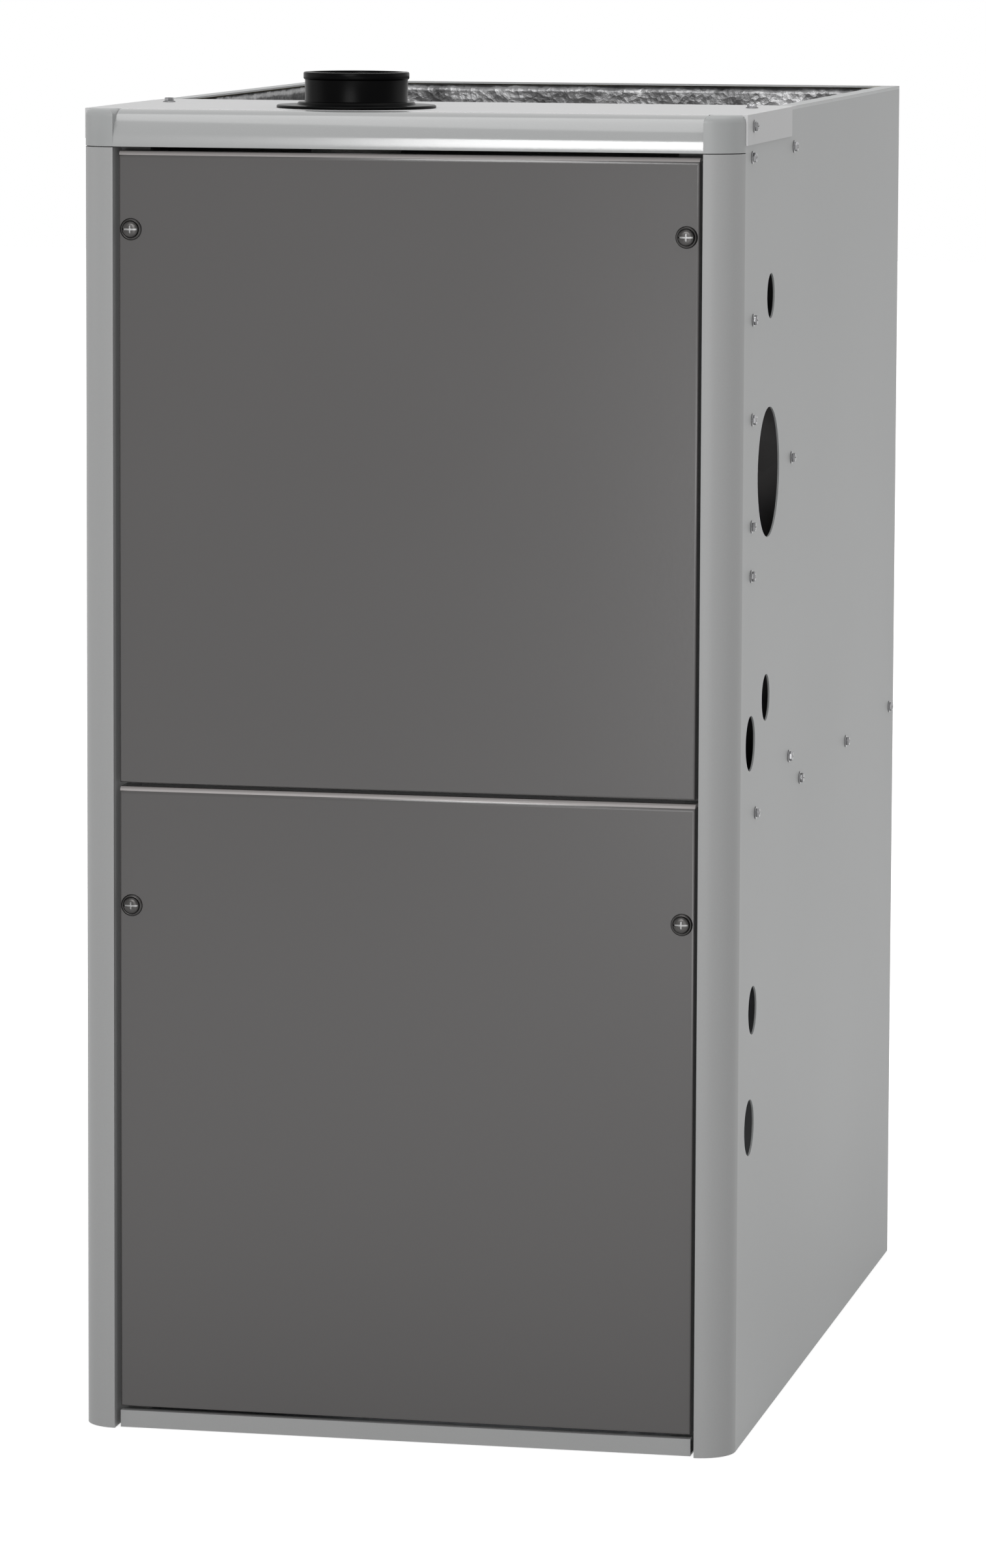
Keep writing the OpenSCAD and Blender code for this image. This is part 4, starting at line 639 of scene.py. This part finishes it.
# %% Spin the vent collar
collar_low, collar_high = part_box("vent_collar")
collar_middle = (collar_low + collar_high) / 2
collar_foot = Matrix.Translation((collar_middle.x, collar_middle.y, collar_low.z))
COLLAR_SECTION = [
    (30.5, 0), (53, 0), (53.5, 0.5), (53.5, 1.4), (52.9, 2), (41.2, 2), (39.9, 2.4), (39.3, 3.4),
    (38.7, 4), (35.6, 4), (34.8, 4.4), (34.5, 5.2), (34.5, 18.8), (35.2, 19.3), (35.5, 19.9),
    (35.5, 23), (35.2, 23.7), (34.5, 24), (31.4, 24), (30.8, 23.7), (30.5, 23),
]
vent_collar = piece(
    "vent_collar_moulding", moved(turned(COLLAR_SECTION, steps=96), collar_foot),
    collar_plastic, instead=["vent_collar"],
)
print("collar:", len(vent_collar.data.polygons), "faces")

# %% [markdown]
# ## The crinkled foil
#
# The chamber above the blower is lined with glass wool behind a foil facing. Hands have
# pressed it into place, so the foil is full of creases, and from the front only its
# bright flecks show in the open top. Creases are sharp, so smooth noise is wrong for
# them: "hard" turbulence folds the noise at zero and leaves a ridge there. The sheet is
# one grid that runs round three walls and bends at two corners. Its creases lie behind
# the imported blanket's face, apart from the tallest, which just reach past it.

# %% Crease the foil
FOIL_CELL = 5.2 * MM
FOIL_DEPTH = 2.6 * MM
END_PLAY = 0.3 * MM
CORNER_RADIUS = 22 * MM
BLANKET = 10 * MM
# Each pattern: how many fit in a metre, a shift that makes it its own, and its share.
SWELL, SWELL_SHIFT, SWELL_SHARE = 7, 3.7, 0.35
FOLDS, FOLDS_SHIFT, FOLDS_SHARE = 24, 0.4, 0.75
FINE, FINE_SHIFT, FINE_SHARE = 95, 8.1, 0.22
low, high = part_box("foil_insulation")
inner_x = high.x - BLANKET
inner_y = high.y - BLANKET
side_run = inner_y - CORNER_RADIUS - low.y
arc_run = CORNER_RADIUS * math.pi / 2
back_run = 2 * (inner_x - CORNER_RADIUS)
whole_run = 2 * side_run + 2 * arc_run + back_run


def foil_path(run):
    """The point on the lining's plan after a run along it, and its inward direction."""
    half = whole_run / 2
    if run > half:
        point, inward = foil_path(whole_run - run)
        return Vector((-point.x, point.y)), Vector((-inward.x, inward.y))
    if run < side_run:
        return Vector((inner_x, low.y + run)), Vector((-1, 0))
    if run < side_run + arc_run:
        angle = (run - side_run) / CORNER_RADIUS
        centre = Vector((inner_x - CORNER_RADIUS, inner_y - CORNER_RADIUS))
        outward = Vector((math.cos(angle), math.sin(angle)))
        return centre + outward * CORNER_RADIUS, -outward
    return Vector((inner_x - CORNER_RADIUS - (run - side_run - arc_run), inner_y)), Vector((0, -1))


def crease(run, height):
    """How far a crease rises there: hard folds over a slow swell."""
    swell = noise.noise(Vector((run * SWELL, height * SWELL, SWELL_SHIFT)))
    folds = noise.turbulence(
        Vector((run * FOLDS, height * FOLDS, FOLDS_SHIFT)), 3, True,
        amplitude_scale=0.6, frequency_scale=2.1,
    )
    fine = noise.turbulence(
        Vector((run * FINE, height * FINE, FINE_SHIFT)), 2, True,
        amplitude_scale=0.5, frequency_scale=2.0,
    )
    shares = SWELL_SHARE * swell + FOLDS_SHARE * (1 - folds) + FINE_SHARE * (1 - fine)
    return FOIL_DEPTH * shares


columns = round(whole_run / FOIL_CELL)
rows = round((high.z - low.z) / FOIL_CELL)
foil_sheet = bmesh.new()
bmesh.ops.create_grid(foil_sheet, x_segments=columns, y_segments=rows, size=0.5)
stands = []
for vertex in foil_sheet.verts:
    run = (vertex.co.x + 0.5) * whole_run
    height = low.z + END_PLAY + (vertex.co.y + 0.5) * (high.z - low.z - 2 * END_PLAY)
    point, inward = foil_path(run)
    stands.append(crease(run, height) - FOIL_DEPTH)
    point = point + inward * stands[-1]
    vertex.co = (point.x, point.y, height)
bmesh.ops.recalc_face_normals(foil_sheet, faces=foil_sheet.faces)
facing_in = sum(
    face.normal.xy.dot(-face.calc_center_median().xy) * face.calc_area()
    for face in foil_sheet.faces
)
if facing_in < 0:
    bmesh.ops.reverse_faces(foil_sheet, faces=foil_sheet.faces)
print("foil:", columns, "by", rows, "cells")
print("from", round(min(stands) / MM, 1), "to", round(max(stands) / MM, 1), "mm past the face")

# %% Back the foil with its wool
FACING = 0.3 * MM
CREASE_SHARP = 14
CLEAR_OF_FOIL = 0.6 * MM
PLAN_STEPS = 96
foil_lining = piece(
    "foil_lining", foil_sheet, foil.material,
    instead=["foil_insulation"], angle=CREASE_SHARP,
)
thickness = foil_lining.modifiers.new("facing", "SOLIDIFY")
thickness.thickness = FACING
thickness.offset = 1

wool_gap = CLEAR_OF_FOIL - min(stands)
wool = bmesh.new()
wool_plan = []
for step in range(PLAN_STEPS + 1):
    point, inward = foil_path(step / PLAN_STEPS * whole_run)
    wool_plan.append(point - inward * wool_gap)
wool_plan += [(low.x, low.y), (low.x, high.y), (high.x, high.y), (high.x, low.y)]
under = wool.faces.new([wool.verts.new((*point, low.z + END_PLAY)) for point in wool_plan])
risen = bmesh.ops.extrude_face_region(wool, geom=[under])
top = [item for item in risen["geom"] if isinstance(item, bmesh.types.BMVert)]
bmesh.ops.translate(wool, verts=top, vec=(0, 0, high.z - low.z - 2 * END_PLAY))
bmesh.ops.recalc_face_normals(wool, faces=wool.faces)
piece(
    "wool_blanket", wool, wool_fibre.material, instead=["foil_insulation"],
)
print("wool plan:", len(wool_plan), "points")

# %% [markdown]
# ## Cross recesses
#
# A screw looks like a screw because of its recess. To cut a cross without a boolean,
# the head's own faces are sliced along the four sides of the cross, and the faces that
# lie inside it are then extruded down. The floor of the recess follows the dome.

# %% Helper that sinks a cross into a head
LEAST_UPWARD = 0.3


def cut_cross(mesh, reaches, width, depth, above, floor_slot=0):
    """Sinks a cross, with a reach along X and Y, into the upward faces above a height."""
    for axis, reach in zip(((1, 0, 0), (0, 1, 0)), reaches):
        for distance in (-reach, -width / 2, width / 2, reach):
            bmesh.ops.bisect_plane(
                mesh, geom=mesh.verts[:] + mesh.edges[:] + mesh.faces[:],
                plane_co=Vector(axis) * distance, plane_no=axis, dist=1e-7,
            )

    def inside(point):
        x, y = abs(point.x), abs(point.y)
        along = (y < width / 2 and x < reaches[0]) or (x < width / 2 and y < reaches[1])
        return point.z > above and along

    floor_faces = [
        face for face in mesh.faces
        if face.normal.z > LEAST_UPWARD and inside(face.calc_center_median())
    ]
    sunk = bmesh.ops.extrude_face_region(mesh, geom=floor_faces)
    corners = [item for item in sunk["geom"] if isinstance(item, bmesh.types.BMVert)]
    for item in sunk["geom"]:
        if isinstance(item, bmesh.types.BMFace):
            item.material_index = floor_slot
    bmesh.ops.translate(mesh, verts=corners, vec=(0, 0, -depth))
    bmesh.ops.delete(mesh, geom=floor_faces, context="FACES")
    mesh.normal_update()


print("cross cutter ready")

# %% [markdown]
# ## The doors' fasteners
#
# Each door hangs on two quarter-turn fasteners. A cup washer is riveted to the door,
# and the fastener's domed head turns inside it, so the two are separate shapes with a
# dark ring between them. Both are spun. The washer rides with its head in the packed
# model, and the copies here keep that.

# %% Turn the fasteners
CUP_SECTION = [
    (3.1, 0.05), (7.35, 0.05), (7.4, 0.35), (7.25, 0.8), (6.8, 1.35), (6.35, 1.7), (6.05, 1.8),
    (5.8, 1.7), (5.72, 1.5), (5.7, 0.7), (3.1, 0.7),
]
HEAD_SECTION = [
    (0, -22.9), (2.2, -22.9), (3, -21.6), (3, -2.6), (4.9, -2.6), (5, -2.5), (5, -1.7),
    (4.9, -1.6), (3, -1.6), (3, 0.75), (5.3, 0.75), (5.55, 0.9), (5.6, 1.2), (5.58, 2.2),
    (5.3, 2.9), (4.6, 3.55), (3.4, 3.95), (1.8, 4.08), (0, 4.1),
]
CROSS_REACHES = (5.2 * MM, 2.7 * MM)
CROSS_WIDTH = 1.25 * MM
CROSS_DEPTH = 1.2 * MM
CROSS_ABOVE = 2.2 * MM
door_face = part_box("upper_door")[0].y
to_the_front = Matrix.Rotation(math.radians(90), 4, "X")
fasteners = sorted(name for name in frame["nodes"] if "door_fastener" in name)
for node in fasteners:
    middle = sum(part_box(node), Vector()) / 2
    head = turned(HEAD_SECTION, steps=40)
    cut_cross(head, CROSS_REACHES, CROSS_WIDTH, CROSS_DEPTH, CROSS_ABOVE, floor_slot=1)
    both = joined([turned(CUP_SECTION, steps=40), head])
    seat = Matrix.Translation((middle.x, door_face, middle.z)) @ to_the_front
    made = piece(
        node + "_turned", moved(both, seat), fastener_metal, body=node,
        instead=[node],
    )
    # The recess floors take the lighter metal, a painted highlight in the cross.
    made.data.materials.append(recess_highlight_metal)
print("fasteners turned:", len(fasteners))

# %% [markdown]
# ## Sheet screws
#
# Hex washer-head screws hold the cabinet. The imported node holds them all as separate
# solids, so their places are read from it: a copy is merged, and each island of linked
# faces is one screw. One detailed screw is then copied to every place.

# %% Find the screws' places
def islands(node):
    """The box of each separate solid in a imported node, as pairs of corners."""
    mesh = bmesh.new()
    mesh.from_mesh(frame["nodes"][node].data)
    bmesh.ops.remove_doubles(mesh, verts=mesh.verts, dist=WELD)
    waiting = set(mesh.verts)
    boxes = []
    while waiting:
        found = {waiting.pop()}
        edge_of_search = list(found)
        while edge_of_search:
            vertex = edge_of_search.pop()
            for edge in vertex.link_edges:
                other = edge.other_vert(vertex)
                if other in waiting:
                    waiting.remove(other)
                    found.add(other)
                    edge_of_search.append(other)
        spread = [[vertex.co[axis] for vertex in found] for axis in range(3)]
        boxes.append((Vector(map(min, spread)), Vector(map(max, spread))))
    mesh.free()
    return sorted(boxes, key=lambda corners: tuple(round(value, 4) for value in corners[0]))


screw_boxes = islands("cabinet_screws")
print("screws found:", len(screw_boxes))

# %% Model one screw and copy it
WASHER_SECTION = [
    (0, -7), (0.5, -6.9), (2.0, -4.6), (2.1, -4.4), (2.1, 0), (4.1, 0), (4.3, 0.15), (4.3, 0.45),
    (4.0, 0.75), (3.4, 0.9), (0, 0.9),
]
HEX_RADIUS = 3.3 * MM
HEX_FOOT = 0.8 * MM
HEX_TOP = 3.0 * MM
HEX_BEVEL = 0.45 * MM
SCREW_CROSS_REACH = 1.9 * MM
SCREW_CROSS_WIDTH = 0.7 * MM
SCREW_CROSS_DEPTH = 0.8 * MM
CROSS_UNDER_TOP = 0.2 * MM
NEXT_TURN = 37


def sheet_screw():
    """A hex washer-head screw with a cross recess, its washer's face on z = 0."""
    washer = turned(WASHER_SECTION, steps=20)
    head = bmesh.new()
    bmesh.ops.create_cone(
        head, cap_ends=True, segments=6, radius1=HEX_RADIUS, radius2=HEX_RADIUS,
        depth=HEX_TOP - HEX_FOOT, matrix=Matrix.Translation((0, 0, (HEX_TOP + HEX_FOOT) / 2)),
    )
    rim = [
        edge for edge in head.edges
        if all(vertex.co.z > HEX_TOP - 0.01 * MM for vertex in edge.verts)
    ]
    bmesh.ops.bevel(
        head, geom=rim, offset=HEX_BEVEL, segments=2, affect="EDGES", profile=0.5, material=-1,
    )
    cut_cross(
        head, (SCREW_CROSS_REACH, SCREW_CROSS_REACH), SCREW_CROSS_WIDTH, SCREW_CROSS_DEPTH,
        HEX_TOP - CROSS_UNDER_TOP,
    )
    return joined([washer, head])


screws = []
for corner, opposite in screw_boxes:
    centre = (corner + opposite) / 2
    size = opposite - corner
    if size.x > size.z:
        side = 1 if centre.x > 0 else -1
        outward = Vector((side, 0, 0))
        tip = opposite.x if side > 0 else corner.x
        foot = Vector((tip - side * HEX_TOP, centre.y, centre.z))
    else:
        outward = Vector((0, 0, 1))
        foot = Vector((centre.x, centre.y, opposite.z - HEX_TOP))
    spin = Matrix.Rotation(math.radians(NEXT_TURN * len(screws)), 4, "Z")
    screws.append(moved(sheet_screw(), Matrix.Translation(foot) @ pointing(outward) @ spin))
sheet_screws = piece(
    "sheet_screws", joined(screws), screw_zinc, instead=["cabinet_screws"],
)
print("screws made:", len(screw_boxes), "faces:", len(sheet_screws.data.polygons))

# %% [markdown]
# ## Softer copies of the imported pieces
#
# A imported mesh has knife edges, and no real edge is that sharp: a pressed or moulded
# one catches a thin line of light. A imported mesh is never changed, so a piece is copied.
# The copy's corners are merged and its flat faces joined up again, so that round walls
# shade smoothly, and a bevel of a few tenths of a millimetre can round what turns sharply.
# Weighted normals keep the large flat faces flat beside a rolled edge.

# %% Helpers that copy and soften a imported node
FLAT_ANGLE = 0.5
SHARP_ANGLE = 35
bodies = frame["record"]["behaviour"]["bodies"]
body_of = {node: body for body, nodes in bodies.items() for node in nodes}


def merged_copy(node):
    """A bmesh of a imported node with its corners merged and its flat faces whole."""
    mesh = bmesh.new()
    mesh.from_mesh(frame["nodes"][node].data)
    bmesh.ops.remove_doubles(mesh, verts=mesh.verts, dist=WELD)
    bmesh.ops.dissolve_limit(
        mesh, angle_limit=math.radians(FLAT_ANGLE), verts=mesh.verts, edges=mesh.edges,
    )
    return mesh


def softened(node, edge):
    """A copy of a node with smooth shading and, if an edge width is given, a small bevel."""
    made = piece(
        node + "_soft", merged_copy(node), DRESS[node], body=body_of[node],
        instead=[node], angle=SHARP_ANGLE,
    )
    if edge:
        bevel = made.modifiers.new("soft edges", "BEVEL")
        bevel.width = edge * MM
        bevel.segments = 2
        bevel.limit_method = "ANGLE"
        bevel.angle_limit = math.radians(SHARP_ANGLE)
    weights = made.modifiers.new("flat faces first", "WEIGHTED_NORMAL")
    weights.keep_sharp = True
    return made


print("softener ready")

# %% Soften pieces, with each edge width in millimetres
EDGES = {
    "burner_box": 0.5, "gas_valve": 0.6, "condensate_header": 0.8, "inducer_housing": 0.6,
    "inducer_motor": 0.4, "pressure_switch": 0.5, "transformer": 0.5, "junction_box": 0.4,
    "door_switch": 0.4, "limit_switch": 0.2, "condensate_trap": 0.6, "blower_housing": 0,
    "blower_motor": 0, "transition_box": 0.5, "gas_manifold": 0, "motor_mount": 0,
    "vent_bend": 0, "vent_pipe": 0, "vent_coupling": 0.4, "hose_clamps": 0, "pressure_tube": 0,
    "drain_hose": 0, "wire_harness": 0, "heat_exchanger_tubes": 0, "burners": 0,
    "gas_valve_knob": 0.4, "blower_wheel": 0, "blower_shaft": 0, "inducer_shaft": 0,
    "igniter": 0, "flame_sensor": 0, "rollout_switches": 0.2, "reset_button_left": 0.2,
    "reset_button_right": 0.2, "left_corner_post": 0, "right_corner_post": 0,
    "top_front_rail": 0, "corner_caps": 0, "upper_door": 0, "lower_door": 0,
}
soft = {node: softened(node, edge) for node, edge in EDGES.items()}
print("softened:", {node: len(made.data.polygons) for node, made in soft.items()})

# %% [markdown]
# ## The control board
#
# One solid holds the board and all that is soldered to it, but a real one has green
# laminate, black relays, white plugs and a blue capacitor. The copy's faces are sorted
# by where their middles lie: each rule is a span along Y and one along Z, in
# millimetres from the board's corner. What lies behind the laminate is a white post.

# %% Colour the parts of the control board
board = softened("control_board", 0.3)
board_low, board_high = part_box("control_board")
TALLEST_PART = 23.6
POST_UNDER = 0.05
PART_ABOVE = 1.7
board_back = board_high.x / MM - TALLEST_PART
board_middle = (board_high.z - board_low.z) / MM / 2
BOARD_RULES = [
    (black_plastic, (16, 200), (board_middle + 4, board_middle + 34)),
    (white_plastic, (13, 75), (board_middle + 42, board_middle + 58)),
    (white_plastic, (13, 71), (7, 21)),
    (black_plastic, (83, 139), (7, 23)),
    (capacitor_blue, (108, 132), (38, 62)),
    (black_plastic, (39, 67), (33, 61)),
]
palette = [board_green, black_plastic, white_plastic, capacitor_blue]
for material in palette[1:]:
    board.data.materials.append(material)
for face in board.data.polygons:
    middle = Vector(face.center)
    y, z = (middle.y - board_low.y) / MM, (middle.z - board_low.z) / MM
    if middle.x / MM < board_back - POST_UNDER:
        face.material_index = palette.index(white_plastic)
    elif middle.x / MM > board_back + PART_ABOVE:
        for material, (y_low, y_high), (z_low, z_high) in BOARD_RULES:
            if y_low < y < y_high and z_low < z < z_high:
                face.material_index = palette.index(material)
print("board faces:", len(board.data.polygons))

# %% [markdown]
# ## The inducer's cooling fan
#
# A small plastic fan on the motor's tail cools it. Its blades are pitched steeply at
# the hub and flatter at the tip, because the tip moves faster. One blade is a grid that
# is twisted row by row, and a solidify gives it its thickness.

# %% Twist the fan's blades
FAN_BLADES = 8
ROOT_PITCH = 42
TIP_PITCH = 24
HUB_SHARE = 0.3
ROOT_IN_HUB = 0.8
DEPTH_SHARE = 0.8
GAP_SHARE = 0.72
TAPER = 0.25
TAPER_FROM = 0.7
TAPER_RUN = 0.3
CAMBER = 1.4
BLADE_THICKNESS = 1.0 * MM
BORE_RADIUS = 2.6
HUB_EDGE = 0.8
HUB_NOSE = 1.4
TIP_ROOM = 0.3
END_ROOM = 0.2
fan_low, fan_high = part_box("inducer_cooling_fan")
fan_middle = (fan_low + fan_high) / 2
fan_reach = (fan_high.x - fan_low.x) / 2 / MM - TIP_ROOM
fan_depth = (fan_high.y - fan_low.y) / MM
hub_radius = fan_reach * HUB_SHARE
blade_root = hub_radius * ROOT_IN_HUB
blades = []
for number in range(FAN_BLADES):
    blade = bmesh.new()
    bmesh.ops.create_grid(blade, x_segments=8, y_segments=4, size=0.5)
    for vertex in blade.verts:
        along = vertex.co.x + 0.5
        radius = blade_root + along * (fan_reach - blade_root)
        pitch = math.radians(ROOT_PITCH + (TIP_PITCH - ROOT_PITCH) * along)
        room = GAP_SHARE * math.tau * radius / FAN_BLADES / math.cos(pitch)
        taper = 1 - TAPER * max(0, along - TAPER_FROM) / TAPER_RUN
        chord = min(DEPTH_SHARE * fan_depth / math.sin(pitch), room) * taper
        across = vertex.co.y * chord
        camber = (0.25 - vertex.co.y ** 2) * CAMBER
        vertex.co = Vector((
            radius, across * math.cos(pitch), across * math.sin(pitch) + camber,
        )) * MM
    bmesh.ops.recalc_face_normals(blade, faces=blade.faces)
    bmesh.ops.solidify(blade, geom=blade.faces, thickness=BLADE_THICKNESS)
    blades.append(moved(blade, Matrix.Rotation(math.tau * number / FAN_BLADES, 4, "Z")))
half = fan_depth / 2 - END_ROOM
HUB_SECTION = [
    (BORE_RADIUS, -half), (hub_radius - HUB_EDGE, -half), (hub_radius, -half + HUB_EDGE),
    (hub_radius, half - HUB_NOSE), (hub_radius - HUB_NOSE, half), (BORE_RADIUS, half),
]
fan = joined([turned(HUB_SECTION, steps=32), *blades])
cooling_fan = piece(
    "cooling_fan_moulding", moved(fan, Matrix.Translation(fan_middle) @ to_the_front),
    white_plastic, body=body_of["inducer_cooling_fan"],
    instead=["inducer_cooling_fan"],
)
print("fan:", len(cooling_fan.data.polygons), "faces")
print("it reaches", round(fan_reach, 1), "mm and is", round(fan_depth, 1), "mm deep")
